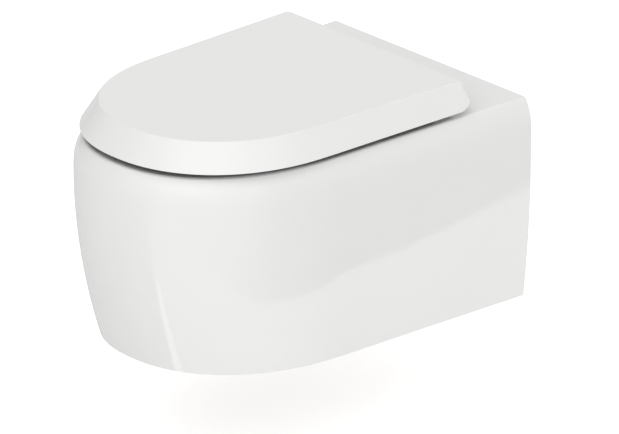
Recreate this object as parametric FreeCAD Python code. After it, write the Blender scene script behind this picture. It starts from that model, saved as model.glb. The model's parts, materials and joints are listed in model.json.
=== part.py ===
"""Wall hung toilet: a skirted ceramic pan with a hinged seat ring and a wrap-over lid.

Millimetres, +Z up. The wall is the plane y = 0 and the pan reaches towards -Y. The origin
lies on the wall, midway between the two fixing holes. Depths are distances from the wall.
"""
import FreeCAD, Part
import math
import os
from FreeCAD import Vector

# Wall connections
RIM_ABOVE_FIXINGS = 80.0
FIXING_SPACING = 180.0
FLUSH_ABOVE_FIXINGS = 35.0
WASTE_BELOW_FIXINGS = 100.0
FLUSH_SOCKET_R = 27.5
FLUSH_SOCKET_DEPTH = 50.0
FLUSH_CHANNEL_R = 20.0
SPIGOT_R = 51.0
SPIGOT_BORE_R = 41.0
SPIGOT_LENGTH = 45.0
SPIGOT_SETBACK = 5.0
SPIGOT_CONE_LENGTH = 15.0
SPIGOT_CONE_INSIDE = 1.0

# Pan outside
PAN_WIDTH = 370.0
PAN_PROJECTION = 531.0
PAN_HEIGHT = 263.8
PLAN_EXPONENT = 2.2
PAN_SIDE_END = 298.0
PAN_TAPER = 7.0
WAIST_DROP = 46.0
DECK_SIDE_INSET = 11.4
DECK_SIDE_POWER = 3.0
DECK_FRONT_INSET = 13.4
DECK_FRONT_POWER = 4.0
FOOT_SIDE_INSET = 12.6
FOOT_SIDE_POWER = 2.3
FOOT_FRONT_INSET = 40.7
FOOT_FRONT_POWER = 1.85
DECK_EDGE_R = 5.0

# Pan walls
SKIRT_WALL = 11.0
DECK_WALL = 14.0
REAR_WALL = 14.0
REAR_WALL_BELOW_FIXINGS = 30.0
BOWL_WALL = 12.0
TRAP_WALL = 9.0
SOCKET_WALL = 9.0
CHANNEL_WALL = 12.0
CHANNEL_INTO_BOWL = 26.0
WEB_HALF_WIDTH = 7.0
WEB_PAST_MOUTH = 30.0

# Bowl, as half width, back depth and front depth at each height above the fixings
BOWL_MOUTH_HALF_WIDTH = 128.0
BOWL_MOUTH_BACK = 150.0
BOWL_MOUTH_FRONT = 472.0
BOWL_MOUTH_R = 5.0
BOWL_STATIONS = (
    (40.0, 126.0, 156.0, 468.0),
    (0.0, 114.0, 180.0, 456.0),
    (-40.0, 92.0, 212.0, 430.0),
    (-80.0, 66.0, 236.0, 394.0),
    (-116.0, 44.0, 252.0, 350.0),
)

# Trap
TRAP_R = 28.0
SUMP_BELOW_BOWL = 20.0
SUMP_DEPTH = 291.0
SUMP_BELOW_FIXINGS = 144.0
SUMP_BLEND = 6.0
TONGUE_DEPTH = 218.0
CREST_DEPTH = 144.0
CREST_APEX_ABOVE_FIXINGS = 10.0
DROP_DEPTH = 96.0
CREST_BEND_R = 40.0
LOWER_BEND_R = 42.0

# Lid outside
LID_EDGE_ABOVE_DECK = 6.8
LID_TOP_ABOVE_DECK = 41.2
LID_SIDE_SETBACK = 1.3
LID_FRONT_SETBACK = 1.5
LID_SIDE_END = 324.0
LID_BACK_DEPTH = 76.0
LID_TAPER = 2.1
LID_CORNER_R = 17.0
FACET_BACK = 16.1
FACET_SIDE = 14.1
FACET_FRONT = 22.1
FACET_EXTRA_TAPER = 5.3
LID_TOP_CORNER_R = 4.0
LID_CORNER_LEAST_R = 2.0
LID_WALL = 4.5
LID_HEEL_R = 29.0
LID_HEEL_AHEAD_OF_AXIS = 9.0
LID_CREASE_R = 1.5

# Seat ring
SEAT_ABOVE_DECK = 5.0
SEAT_THICKNESS = 24.0
SEAT_LID_GAP = 3.5
SEAT_HOLE_HALF_WIDTH = 112.0
SEAT_HOLE_BACK = 166.0
SEAT_HOLE_FRONT = 460.0
SEAT_OUTER_R = 6.0
SEAT_HOLE_R = 9.0
SEAT_BACK_BEHIND_AXIS = -34.0

# Hinges
HINGE_SPACING = 155.0
AXIS_DEPTH = 98.0
AXIS_ABOVE_DECK = 28.0
POST_AHEAD_OF_AXIS = 21.0
DECK_HOLE_R = 7.0
PIN_R = 3.0
PIN_CLEARANCE = 0.05
KNUCKLE_R = 6.5
BUSH_WALL = 1.5
KNUCKLE_LENGTH = 21.5
KNUCKLE_GAP = 0.5
ELBOW_WIDTH = 23.0
ELBOW_DEPTH = 18.0
ELBOW_BARREL_R = 6.0
ELBOW_TOP_ABOVE_AXIS = 3.0
ELBOW_EDGE_R = 2.0
HINGE_BAY_GAP = 1.5
GASKET_THICKNESS = 1.0
POST_FLANGE_R = 14.0
POST_FLANGE_THICKNESS = 3.0
POST_R = 5.0
POST_HEIGHT = 14.0
POST_NECK_R = 3.9
NECK_ABOVE_FLANGE = 8.0
NECK_HEIGHT = 3.0
SOCKET_CLEARANCE = 0.3
CLIP_R = 6.6
CLIP_THICKNESS = 1.6
CLIP_CLEARANCE = 0.2
CLIP_MOUTH = 5.0
BOLT_R = 2.5
BOLT_CLEARANCE = 0.2
BOLT_HEAD_HEIGHT = 5.0
BOLT_KEY_R = 2.0
BOLT_KEY_DEPTH = 2.5
BUSH_BELOW_DECK = 8.0
BUSH_CLEARANCE = 0.2
BOLT_NUT_R = 6.0
BOLT_NUT_HEIGHT = 6.0
BOLT_TAIL = 2.0
ARM_THICKNESS = 4.0
ARM_REACH = 28.0
ARM_BELOW_AXIS = 9.0
ARM_WEB_DEPTH = 12.0
ARM_POCKET_CLEARANCE = 0.5
LID_ARM_THICKNESS = 3.0
LID_ARM_REACH = 45.0
SCREW_R = 1.75
SCREW_HEAD_R = 3.5
SCREW_HEAD_HEIGHT = 2.0
SEAT_SCREW_BITE = 8.0
LID_SCREW_BITE = 3.2
SEAT_SCREW_PITCH = 14.0
LID_SCREW_PITCH = 18.0
SCREW_END_MARGIN = 7.0

# Buffers
BUFFER_HALF_LENGTH = 12.0
BUFFER_HALF_WIDTH = 6.0
BUFFER_FLAT_END = 2.0
SEAT_BUFFER_X = 138.0
SEAT_BUFFER_BACK = 205.0
SEAT_BUFFER_FRONT = 385.0
SEAT_BUFFER_FRONT_X = 118.0
LID_BUFFER_R = 5.0
LID_BUFFER_X = 128.0
LID_BUFFER_BACK = 190.0
LID_BUFFER_FRONT = 370.0
LID_BUFFER_FRONT_X = 108.0

# Wall fixings
FIXING_HOLE_R = 10.0
SLEEVE_BORE_R = 6.5
SLEEVE_CLEARANCE = 0.3
SLEEVE_FLANGE_R = 16.0
SLEEVE_FLANGE_THICKNESS = 2.0
WASHER_R = 18.0
WASHER_THICKNESS = 2.5
NUT_BORE_R = 6.05
NUT_ACROSS_FLATS = 19.0
NUT_HEIGHT = 10.0

# Flush guide
GUIDE_WALL = 2.0
GUIDE_LENGTH = 50.0
GUIDE_INTO_BOWL = 22.0
GUIDE_WINDOW_LENGTH = 12.0
GUIDE_WINDOW_HEIGHT = 20.0
GUIDE_CLEARANCE = 0.3

# Drawing aids
SIDE_POINTS = 4
FRONT_POINTS = 12
SHOULDER_STATIONS = 5
FLANK_STATIONS = 8
OVAL_POINTS = 20
MOUTH_STEPS = 4
BEYOND = 5.0
PAST = 1.0
TOUCH = 0.001
FAR = 1000.0

DECK_Z = RIM_ABOVE_FIXINGS
FOOT_Z = DECK_Z - PAN_HEIGHT
AXIS_Y = -AXIS_DEPTH
AXIS_Z = DECK_Z + AXIS_ABOVE_DECK
POST_X = HINGE_SPACING / 2
POST_Y = AXIS_Y - POST_AHEAD_OF_AXIS
FLANGE_Z = DECK_Z + GASKET_THICKNESS
ELBOW_Z = FLANGE_Z + POST_FLANGE_THICKNESS
NECK_Z = ELBOW_Z + NECK_ABOVE_FLANGE
BUSH_LENGTH = DECK_WALL + BUSH_BELOW_DECK
SEAT_Z = DECK_Z + SEAT_ABOVE_DECK
SEAT_TOP_Z = SEAT_Z + SEAT_THICKNESS
LID_EDGE_Z = DECK_Z + LID_EDGE_ABOVE_DECK
LID_TOP_Z = DECK_Z + LID_TOP_ABOVE_DECK
LID_INSIDE_Z = LID_TOP_Z - LID_WALL
KNUCKLE_BORE_R = PIN_R + PIN_CLEARANCE + BUSH_WALL
SEAT_KNUCKLE_X = POST_X - ELBOW_WIDTH / 2 - KNUCKLE_GAP - KNUCKLE_LENGTH
LID_KNUCKLE_X = POST_X + ELBOW_WIDTH / 2 + KNUCKLE_GAP
ARM_TOP_Z = AXIS_Z - ARM_BELOW_AXIS
ARM_FRONT_Y = AXIS_Y + SEAT_BACK_BEHIND_AXIS - ARM_REACH

X_AXIS = Vector(1, 0, 0)
Y_AXIS = Vector(0, 1, 0)
Z_AXIS = Vector(0, 0, 1)


def box(x0, x1, y0, y1, z0, z1):
    """A box between two opposite corners."""
    return Part.makeBox(x1 - x0, y1 - y0, z1 - z0, Vector(x0, y0, z0))


def post(radius, x, y, z0, z1):
    """An upright cylinder."""
    return Part.makeCylinder(radius, z1 - z0, Vector(x, y, z0), Z_AXIS)


def cross_bar(radius, x0, x1):
    """A cylinder on the hinge axis."""
    return Part.makeCylinder(radius, x1 - x0, Vector(x0, AXIS_Y, AXIS_Z), X_AXIS)


def wall_bar(radius, x, z, depth0, depth1):
    """A cylinder square to the wall, between two depths."""
    return Part.makeCylinder(radius, depth1 - depth0, Vector(x, -depth1, z), Y_AXIS)


def mirrored(shape):
    """The same piece on the other side."""
    return shape.mirror(Vector(0, 0, 0), X_AXIS)


def both(shape):
    """A piece and its mirror image."""
    return [shape, mirrored(shape)]


def joined(shapes):
    """Several solids made into one."""
    return shapes[0].multiFuse(shapes[1:]).removeSplitter()


def plan_points(half_width, slope, back, side_end, reach):
    """One side of a plan outline as (x, depth): a tapering side and a superellipse front."""
    points = []
    for step in range(SIDE_POINTS):
        depth = back + (side_end - back) * step / SIDE_POINTS
        points.append((half_width - slope * (depth - back), depth))
    for step in range(FRONT_POINTS + 1):
        share = math.sin(math.radians(90.0 * step / FRONT_POINTS))
        depth = side_end + (reach - side_end) * share
        round_off = max(0.0, 1.0 - share ** PLAN_EXPONENT) ** (1.0 / PLAN_EXPONENT)
        points.append(((half_width - slope * (depth - back)) * round_off, depth))
    return points


def chord_parameters(points):
    """Curve parameters in step with the distance along a list of points."""
    total = [0.0]
    for one, other in zip(points, points[1:]):
        total.append(total[-1] + one.distanceToPoint(other))
    return [value / total[-1] for value in total]


def around(points, z):
    """A half plan outline carried round the front to the other side, as vectors."""
    right = [Vector(x, -depth, z) for x, depth in points]
    return right + [Vector(-p.x, p.y, p.z) for p in reversed(right[:-1])]


def spline(points, parameters):
    """A smooth edge through points, with the parameters shared by its whole loft."""
    curve = Part.BSplineCurve()
    curve.interpolate(Points=points, Parameters=parameters)
    return curve.toShape()


PLAN_PARAMETERS = chord_parameters(
    around(plan_points(PAN_WIDTH / 2, 0.0, 0.0, PAN_SIDE_END, PAN_PROJECTION), 0.0)
)


def pan_wire(z, side_inset, front_inset):
    """The pan's plan outline at a height, closed a little behind the wall plane."""
    slope = PAN_TAPER / PAN_SIDE_END
    half_width = PAN_WIDTH / 2 - side_inset + slope * BEYOND
    reach = PAN_PROJECTION - front_inset
    points = around(plan_points(half_width, slope, -BEYOND, PAN_SIDE_END, reach), z)
    return Part.Wire([spline(points, PLAN_PARAMETERS), Part.makeLine(points[-1], points[0])])


def pan_stations():
    """The pan's outline stations: drop below the deck, side inset and front inset."""
    stations = []
    for step in range(SHOULDER_STATIONS):
        rise = 1 - step / SHOULDER_STATIONS
        stations.append((WAIST_DROP * (1 - rise), DECK_SIDE_INSET * rise ** DECK_SIDE_POWER,
                         DECK_FRONT_INSET * rise ** DECK_FRONT_POWER))
    for step in range(FLANK_STATIONS + 1):
        fall = step / FLANK_STATIONS
        stations.append((WAIST_DROP + (PAN_HEIGHT - WAIST_DROP) * fall,
                         FOOT_SIDE_INSET * fall ** FOOT_SIDE_POWER,
                         FOOT_FRONT_INSET * fall ** FOOT_FRONT_POWER))
    return stations


def pan_loft(wall):
    """The pan's outside, or its hollow when given a wall to leave."""
    wires = [pan_wire(DECK_Z - drop, side + wall, front + wall)
             for drop, side, front in pan_stations()]
    return Part.makeLoft(wires, True, False)


def pan_outside():
    """The closed outer form, flat at the wall, with its deck edge rounded."""
    body = pan_loft(0.0).common(box(-FAR, FAR, -FAR, 0.0, FOOT_Z, DECK_Z))
    edges = [edge for edge in body.Edges
             if edge.BoundBox.ZMin > DECK_Z - TOUCH and edge.BoundBox.YMin < -BEYOND]
    return body.makeFillet(DECK_EDGE_R, edges)


def pan_core():
    """All that lies inside the skirt, carried a little past the deck and the foot."""
    core = pan_loft(SKIRT_WALL)
    ends = sorted(core.Faces, key=lambda face: face.CenterOfMass.z)
    below = ends[0].extrude(-BEYOND * Z_AXIS)
    above = ends[-1].extrude(BEYOND * Z_AXIS)
    return core.fuse(below).fuse(above)


def oval_wire(z, half_width, back, front):
    """An oval in plan between two depths."""
    middle = (back + front) / 2
    half_length = (front - back) / 2
    points = []
    for step in range(OVAL_POINTS):
        turn = 2 * math.pi * step / OVAL_POINTS
        x = half_width * math.sin(turn)
        points.append(Vector(x, -middle + half_length * math.cos(turn), z))
    curve = Part.BSplineCurve()
    curve.interpolate(Points=points, PeriodicFlag=True)
    return Part.Wire([curve.toShape()])


def bowl_form(wall):
    """The bowl's inside, or its outside up to the deck when given a wall to add."""
    top = DECK_Z + BEYOND if wall == 0.0 else DECK_Z - DECK_WALL
    mouth = (top, BOWL_MOUTH_HALF_WIDTH, BOWL_MOUTH_BACK, BOWL_MOUTH_FRONT)
    floor_r = TRAP_R - SUMP_BLEND / 2
    sump = (-SUMP_BELOW_FIXINGS - SUMP_BLEND, floor_r, SUMP_DEPTH - floor_r, SUMP_DEPTH + floor_r)
    wires = [oval_wire(z, half_width + wall, back - wall, front + wall)
             for z, half_width, back, front in (mouth,) + BOWL_STATIONS + (sump,)]
    return Part.makeLoft(wires, True, False)


def mouth_rounding():
    """The tool that rounds the bowl's mouth over into the deck."""
    wires = []
    for step in range(MOUTH_STEPS + 1):
        turn = math.pi / 2 * step / MOUTH_STEPS
        out = BOWL_MOUTH_R * (1 - math.cos(turn))
        z = DECK_Z - BOWL_MOUTH_R * (1 - math.sin(turn))
        wires.append(oval_wire(z, BOWL_MOUTH_HALF_WIDTH + out, BOWL_MOUTH_BACK - out,
                               BOWL_MOUTH_FRONT + out))
    wires.append(oval_wire(DECK_Z + BEYOND, BOWL_MOUTH_HALF_WIDTH + BOWL_MOUTH_R,
                           BOWL_MOUTH_BACK - BOWL_MOUTH_R, BOWL_MOUTH_FRONT + BOWL_MOUTH_R))
    return Part.makeLoft(wires, True, True)


def bent_path(points, radii):
    """Straight runs through points in a plane, joined by tangent arcs."""
    edges = []
    start = points[0]
    for corner, before, after, radius in zip(points[1:-1], points, points[2:], radii):
        back = (before - corner).normalize()
        ahead = (after - corner).normalize()
        half_angle = back.getAngle(ahead) / 2
        reach = radius / math.tan(half_angle)
        first = corner + back * reach
        last = corner + ahead * reach
        middle = corner + (back + ahead).normalize() * (radius / math.sin(half_angle) - radius)
        edges.append(Part.makeLine(start, first))
        edges.append(Part.Arc(first, middle, last).toShape())
        start = last
    edges.append(Part.makeLine(start, points[-1]))
    return Part.Wire(edges)


def trap_pipe(radius):
    """The water way from the sump, under the tongue and over the crest, as a solid bar."""
    waste_z = -WASTE_BELOW_FIXINGS
    spigot_start = SPIGOT_SETBACK + SPIGOT_LENGTH
    points = [
        Vector(0, -SUMP_DEPTH, -SUMP_BELOW_FIXINGS),
        Vector(0, -TONGUE_DEPTH, -SUMP_BELOW_FIXINGS),
        Vector(0, -CREST_DEPTH, CREST_APEX_ABOVE_FIXINGS),
        Vector(0, -DROP_DEPTH, waste_z),
        Vector(0, -spigot_start, waste_z),
    ]
    path = bent_path(points, (LOWER_BEND_R, CREST_BEND_R, LOWER_BEND_R))
    profile = Part.Wire([Part.Circle(points[0], Y_AXIS, radius).toShape()])
    sump = Part.makeSphere(radius, points[0])
    return path.makePipeShell([profile], True, True).fuse(sump)


def spigot_form(radius, start_radius, end_depth):
    """The waste outlet: a cone out of the trap and a straight round end."""
    z = -WASTE_BELOW_FIXINGS
    start = SPIGOT_SETBACK + SPIGOT_LENGTH
    base = Vector(0, -start - SPIGOT_CONE_LENGTH, z)
    cone = Part.makeCone(start_radius - SPIGOT_CONE_INSIDE, radius, SPIGOT_CONE_LENGTH, base, Y_AXIS)
    return cone.fuse(wall_bar(radius, 0, z, end_depth, start))


def socket_boss():
    """The boss round the flush socket."""
    return wall_bar(FLUSH_SOCKET_R + SOCKET_WALL, 0, FLUSH_ABOVE_FIXINGS, REAR_WALL / 2,
                    FLUSH_SOCKET_DEPTH + SOCKET_WALL)


def flush_way():
    """The flush water's way from the socket into the bowl, as a solid bar."""
    return wall_bar(FLUSH_CHANNEL_R, 0, FLUSH_ABOVE_FIXINGS, -BEYOND,
                    BOWL_MOUTH_BACK + CHANNEL_INTO_BOWL)


def without(shape, tools):
    """A shape with tools cut from it one after another."""
    for tool in tools:
        shape = shape.cut(tool)
    return shape


def pan():
    """The skirt with its deck edge, open above, below and at the back."""
    return pan_outside().cut(pan_core())


def deck():
    """The flat top inside the skirt, with the bowl's mouth and the hinge bolts' holes."""
    plate = pan_core().common(box(-FAR, FAR, -FAR, 0, DECK_Z - DECK_WALL, DECK_Z))
    holes = both(post(DECK_HOLE_R, POST_X, POST_Y, DECK_Z - 2 * DECK_WALL, DECK_Z + BEYOND))
    return without(plate, [bowl_form(0.0), mouth_rounding()] + holes)


def rear_wall():
    """The wall between the skirt's ends, with the fixing holes and the flush socket."""
    slab = box(-FAR, FAR, -REAR_WALL, 0, -REAR_WALL_BELOW_FIXINGS, DECK_Z)
    over = box(-FAR, FAR, -FAR, FAR, DECK_Z - DECK_WALL, FAR)
    socket = wall_bar(FLUSH_SOCKET_R, 0, FLUSH_ABOVE_FIXINGS, -BEYOND, FLUSH_SOCKET_DEPTH)
    holes = both(wall_bar(FIXING_HOLE_R, FIXING_SPACING / 2, 0, -BEYOND, REAR_WALL + BEYOND))
    solid = pan_core().common(slab).fuse(socket_boss())
    return without(solid, [over, socket, flush_way()] + holes)


def whole_bowl():
    """The bowl, from the deck's underside down to the trap."""
    return without(bowl_form(BOWL_WALL), [bowl_form(0.0), trap_pipe(TRAP_R), flush_way()])


def bowl():
    """The bowl's wide part, under the deck."""
    return whole_bowl().common(box(-FAR, FAR, -FAR, FAR, -SUMP_BELOW_BOWL, FAR))


def sump():
    """The bowl's narrow foot, which leads into the trap."""
    return whole_bowl().common(box(-FAR, FAR, -FAR, FAR, -FAR, -SUMP_BELOW_BOWL))


def trap():
    """The water seal's pipe with the waste spigot."""
    spigot = spigot_form(SPIGOT_R, TRAP_R + TRAP_WALL, SPIGOT_SETBACK)
    tube = trap_pipe(TRAP_R + TRAP_WALL).fuse(spigot)
    bore = spigot_form(SPIGOT_BORE_R, TRAP_R, -BEYOND)
    return without(tube, [bowl_form(BOWL_WALL), trap_pipe(TRAP_R), bore])


def flush_channel():
    """The channel between socket and bowl, on the web that carries the trap."""
    room = box(-FAR, FAR, -FAR, -REAR_WALL, -FAR, DECK_Z - DECK_WALL)
    bar = wall_bar(FLUSH_CHANNEL_R + CHANNEL_WALL, 0, FLUSH_ABOVE_FIXINGS, REAR_WALL,
                   BOWL_MOUTH_BACK)
    web = box(-WEB_HALF_WIDTH, WEB_HALF_WIDTH, -BOWL_MOUTH_BACK - WEB_PAST_MOUTH, -REAR_WALL,
              -REAR_WALL_BELOW_FIXINGS, FLUSH_ABOVE_FIXINGS)
    return without(bar.fuse(web).common(room), [
        socket_boss(), bowl_form(BOWL_WALL), trap_pipe(TRAP_R + TRAP_WALL), flush_way()])


def lid_wire(z, inset):
    """The lid's plan outline at a height on its sloping facet, drawn in by an inset."""
    share = (z - LID_EDGE_Z) / (LID_TOP_Z - LID_EDGE_Z)
    back = LID_BACK_DEPTH + FACET_BACK * share + inset
    half_width = PAN_WIDTH / 2 - DECK_SIDE_INSET - LID_SIDE_SETBACK - FACET_SIDE * share - inset
    reach = PAN_PROJECTION - DECK_FRONT_INSET - LID_FRONT_SETBACK - FACET_FRONT * share - inset
    corner = max(LID_CORNER_R + (LID_TOP_CORNER_R - LID_CORNER_R) * share - inset,
                 LID_CORNER_LEAST_R)
    slope = (LID_TAPER + FACET_EXTRA_TAPER * share) / (LID_SIDE_END - LID_BACK_DEPTH)
    points = around(plan_points(half_width, slope, back + corner, LID_SIDE_END, reach), z)
    side = spline(points, PLAN_PARAMETERS)
    cut_in = corner * (1 - math.sqrt(0.5))
    right = Vector(half_width - corner, -back, z)
    left = Vector(-half_width + corner, -back, z)
    right_arc = Part.Arc(right, Vector(half_width - cut_in, -back - cut_in, z), points[0])
    left_arc = Part.Arc(points[-1], Vector(-half_width + cut_in, -back - cut_in, z), left)
    return Part.Wire([right_arc.toShape(), side, left_arc.toShape(), Part.makeLine(left, right)])


def faceted(z0, z1, inset):
    """A solid with the lid's sloping sides between two heights."""
    return Part.makeLoft([lid_wire(z0, inset), lid_wire(z1, inset)], True, True)


def lid_heel():
    """What is cut from the lid's lower back edge, so that it swings up clear of the deck."""
    y = AXIS_Y - LID_HEEL_AHEAD_OF_AXIS
    z = LID_EDGE_Z + LID_HEEL_R
    round_bar = Part.makeCylinder(LID_HEEL_R, 2 * FAR, Vector(-FAR, y, z), X_AXIS)
    return box(-FAR, FAR, y, 0.0, DECK_Z, z).cut(round_bar)


def lid():
    """The lid shell: flat top, sloping facet all round, open below and at the hinges."""
    outside = faceted(LID_EDGE_Z, LID_TOP_Z, 0.0)
    crease = [edge for edge in outside.Edges if edge.BoundBox.ZMin > LID_TOP_Z - TOUCH]
    outside = outside.makeFillet(LID_CREASE_R, crease)
    inside = faceted(LID_EDGE_Z - BEYOND, LID_INSIDE_Z, LID_WALL)
    bay_x = LID_KNUCKLE_X + KNUCKLE_LENGTH + HINGE_BAY_GAP
    bay = box(-bay_x, bay_x, AXIS_Y - KNUCKLE_R - HINGE_BAY_GAP, 0.0, DECK_Z, LID_INSIDE_Z)
    shell = outside.cut([inside, bay, lid_heel()])
    holes = [post(SCREW_R, x, y, LID_INSIDE_Z - PAST, LID_INSIDE_Z + LID_SCREW_BITE)
             for x, y in lid_screw_places()]
    return shell.cut(holes)


def seat_ring():
    """The seat ring, with sloping sides under the lid and an oval opening."""
    ring = faceted(SEAT_Z, SEAT_TOP_Z, LID_WALL + SEAT_LID_GAP)
    back_y = AXIS_Y + SEAT_BACK_BEHIND_AXIS
    ring = ring.common(box(-FAR, FAR, -FAR, back_y, SEAT_Z, SEAT_TOP_Z))
    top = [edge for edge in ring.Edges if edge.BoundBox.ZMin > SEAT_TOP_Z - TOUCH]
    ring = ring.makeFillet(SEAT_OUTER_R, top)
    hole = Part.Face(oval_wire(SEAT_Z - BEYOND, SEAT_HOLE_HALF_WIDTH, SEAT_HOLE_BACK,
                               SEAT_HOLE_FRONT)).extrude(Vector(0, 0, SEAT_THICKNESS + 2 * BEYOND))
    ring = ring.cut(hole)
    rim = [edge for edge in ring.Edges if edge.BoundBox.ZMin > SEAT_TOP_Z - TOUCH
           and edge.BoundBox.XMax < SEAT_HOLE_HALF_WIDTH + PAST
           and edge.Length > SEAT_HOLE_HALF_WIDTH * 4]
    ring = ring.makeFillet(SEAT_HOLE_R, rim)
    pocket = box(SEAT_KNUCKLE_X - ARM_POCKET_CLEARANCE,
                 SEAT_KNUCKLE_X + KNUCKLE_LENGTH + ARM_POCKET_CLEARANCE,
                 ARM_FRONT_Y - ARM_POCKET_CLEARANCE, back_y + BEYOND, SEAT_Z - BEYOND, ARM_TOP_Z)
    holes = [post(SCREW_R, x, y, ARM_TOP_Z - PAST, ARM_TOP_Z + SEAT_SCREW_BITE)
             for x, y in seat_screw_places()]
    return ring.cut(both(pocket) + holes)


def knuckle(x0):
    """A hinge knuckle's outside on the hinge axis."""
    return cross_bar(KNUCKLE_R, x0, x0 + KNUCKLE_LENGTH)


def knuckle_bore(x0):
    """The bore that a knuckle's bush or damper fills."""
    return cross_bar(KNUCKLE_BORE_R, x0 - PAST, x0 + KNUCKLE_LENGTH + PAST)


def seat_arm():
    """One metal arm: a knuckle, a short web and a plate under the ring's back."""
    x0 = SEAT_KNUCKLE_X
    x1 = x0 + KNUCKLE_LENGTH
    plate = box(x0, x1, ARM_FRONT_Y, AXIS_Y, ARM_TOP_Z - ARM_THICKNESS, ARM_TOP_Z)
    web = box(x0, x1, AXIS_Y - ARM_WEB_DEPTH, AXIS_Y, ARM_TOP_Z - ARM_THICKNESS, AXIS_Z)
    holes = [post(SCREW_R, x, y, AXIS_Z - KNUCKLE_LENGTH, AXIS_Z) for x, y in seat_screw_places()]
    return joined([knuckle(x0), plate, web]).cut([knuckle_bore(x0)] + holes)


def lid_arm():
    """One metal arm: a knuckle with a plate under the lid's top."""
    x0 = LID_KNUCKLE_X
    x1 = x0 + KNUCKLE_LENGTH
    low = LID_INSIDE_Z - LID_ARM_THICKNESS
    plate = box(x0, x1, AXIS_Y - LID_ARM_REACH, AXIS_Y + KNUCKLE_R, low, LID_INSIDE_Z)
    neck = box(x0, x1, AXIS_Y - KNUCKLE_R, AXIS_Y + KNUCKLE_R, AXIS_Z, LID_INSIDE_Z)
    holes = [post(SCREW_R, x, y, low - PAST, LID_INSIDE_Z + PAST) for x, y in lid_screw_places()]
    return joined([knuckle(x0), plate, neck]).cut([knuckle_bore(x0)] + holes)


def screw_places(x_middle, front_y, pitch):
    """Two screws in line on each side's arm."""
    places = []
    for step in range(2):
        y = front_y + SCREW_END_MARGIN + step * pitch
        places += [(x_middle, y), (-x_middle, y)]
    return places


def seat_screw_places():
    """Where the ring's arm screws stand."""
    return screw_places(SEAT_KNUCKLE_X + KNUCKLE_LENGTH / 2, ARM_FRONT_Y, SEAT_SCREW_PITCH)


def lid_screw_places():
    """Where the lid's arm screws stand."""
    return screw_places(LID_KNUCKLE_X + KNUCKLE_LENGTH / 2, AXIS_Y - LID_ARM_REACH,
                        LID_SCREW_PITCH)


def screws(places, seat_z, tip_z):
    """Pan head screws driven upwards, with their heads under a plate."""
    made = []
    for x, y in places:
        head = post(SCREW_HEAD_R, x, y, seat_z - SCREW_HEAD_HEIGHT, seat_z)
        made.append(joined([head, post(SCREW_R, x, y, seat_z, tip_z)]))
    return made


def sleeve(x0):
    """A plain bush, or a damper body, between a knuckle and the pin."""
    outside = cross_bar(KNUCKLE_BORE_R, x0, x0 + KNUCKLE_LENGTH)
    return outside.cut(cross_bar(PIN_R + PIN_CLEARANCE, x0 - PAST, x0 + KNUCKLE_LENGTH + PAST))


def hinge_pin():
    """The pin through both knuckles and the elbow of one hinge."""
    return cross_bar(PIN_R, SEAT_KNUCKLE_X, LID_KNUCKLE_X + KNUCKLE_LENGTH)


def hinge_elbow():
    """The block that stands on a post and carries the pin behind it."""
    x0 = POST_X - ELBOW_WIDTH / 2
    x1 = POST_X + ELBOW_WIDTH / 2
    column = box(x0, x1, POST_Y - ELBOW_DEPTH / 2, POST_Y + ELBOW_DEPTH / 2,
                 ELBOW_Z, AXIS_Z + ELBOW_TOP_ABOVE_AXIS)
    uprights = [edge for edge in column.Edges
                if edge.BoundBox.ZLength > ELBOW_WIDTH and edge.BoundBox.YMax < POST_Y]
    column = column.makeFillet(ELBOW_EDGE_R, uprights)
    arm = box(x0, x1, POST_Y, AXIS_Y, AXIS_Z - ELBOW_BARREL_R, AXIS_Z + ELBOW_TOP_ABOVE_AXIS)
    barrel = cross_bar(ELBOW_BARREL_R, x0, x1)
    socket_r = POST_R + SOCKET_CLEARANCE
    socket_top = ELBOW_Z + POST_HEIGHT + BOLT_HEAD_HEIGHT + SOCKET_CLEARANCE
    slot_z = NECK_Z + (NECK_HEIGHT - CLIP_THICKNESS) / 2
    return joined([column, arm, barrel]).cut([
        cross_bar(PIN_R + PIN_CLEARANCE, x0 - PAST, x1 + PAST),
        post(socket_r, POST_X, POST_Y, ELBOW_Z - PAST, socket_top),
        post(CLIP_R, POST_X, POST_Y, slot_z, slot_z + CLIP_THICKNESS),
    ])


def elbow_clip():
    """The open spring ring that holds an elbow down on its post's neck."""
    z0 = NECK_Z + (NECK_HEIGHT - CLIP_THICKNESS) / 2
    z1 = z0 + CLIP_THICKNESS
    ring = post(CLIP_R, POST_X, POST_Y, z0, z1)
    bore = post(POST_NECK_R + CLIP_CLEARANCE, POST_X, POST_Y, z0 - PAST, z1 + PAST)
    mouth = box(POST_X - CLIP_MOUTH / 2, POST_X + CLIP_MOUTH / 2, POST_Y - CLIP_R * 2, POST_Y,
                z0 - PAST, z1 + PAST)
    return ring.cut([bore, mouth])


def hinge_post():
    """A flanged stud on the deck, necked for the clip."""
    flange = post(POST_FLANGE_R, POST_X, POST_Y, FLANGE_Z, ELBOW_Z)
    stud = post(POST_R, POST_X, POST_Y, ELBOW_Z, ELBOW_Z + POST_HEIGHT)
    band = post(POST_R * 2, POST_X, POST_Y, NECK_Z, NECK_Z + NECK_HEIGHT)
    neck = post(POST_NECK_R, POST_X, POST_Y, NECK_Z, NECK_Z + NECK_HEIGHT)
    bore = post(BOLT_R + BOLT_CLEARANCE, POST_X, POST_Y, DECK_Z, ELBOW_Z + POST_HEIGHT + PAST)
    return joined([flange, stud]).cut(band.cut(neck)).cut(bore)


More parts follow.
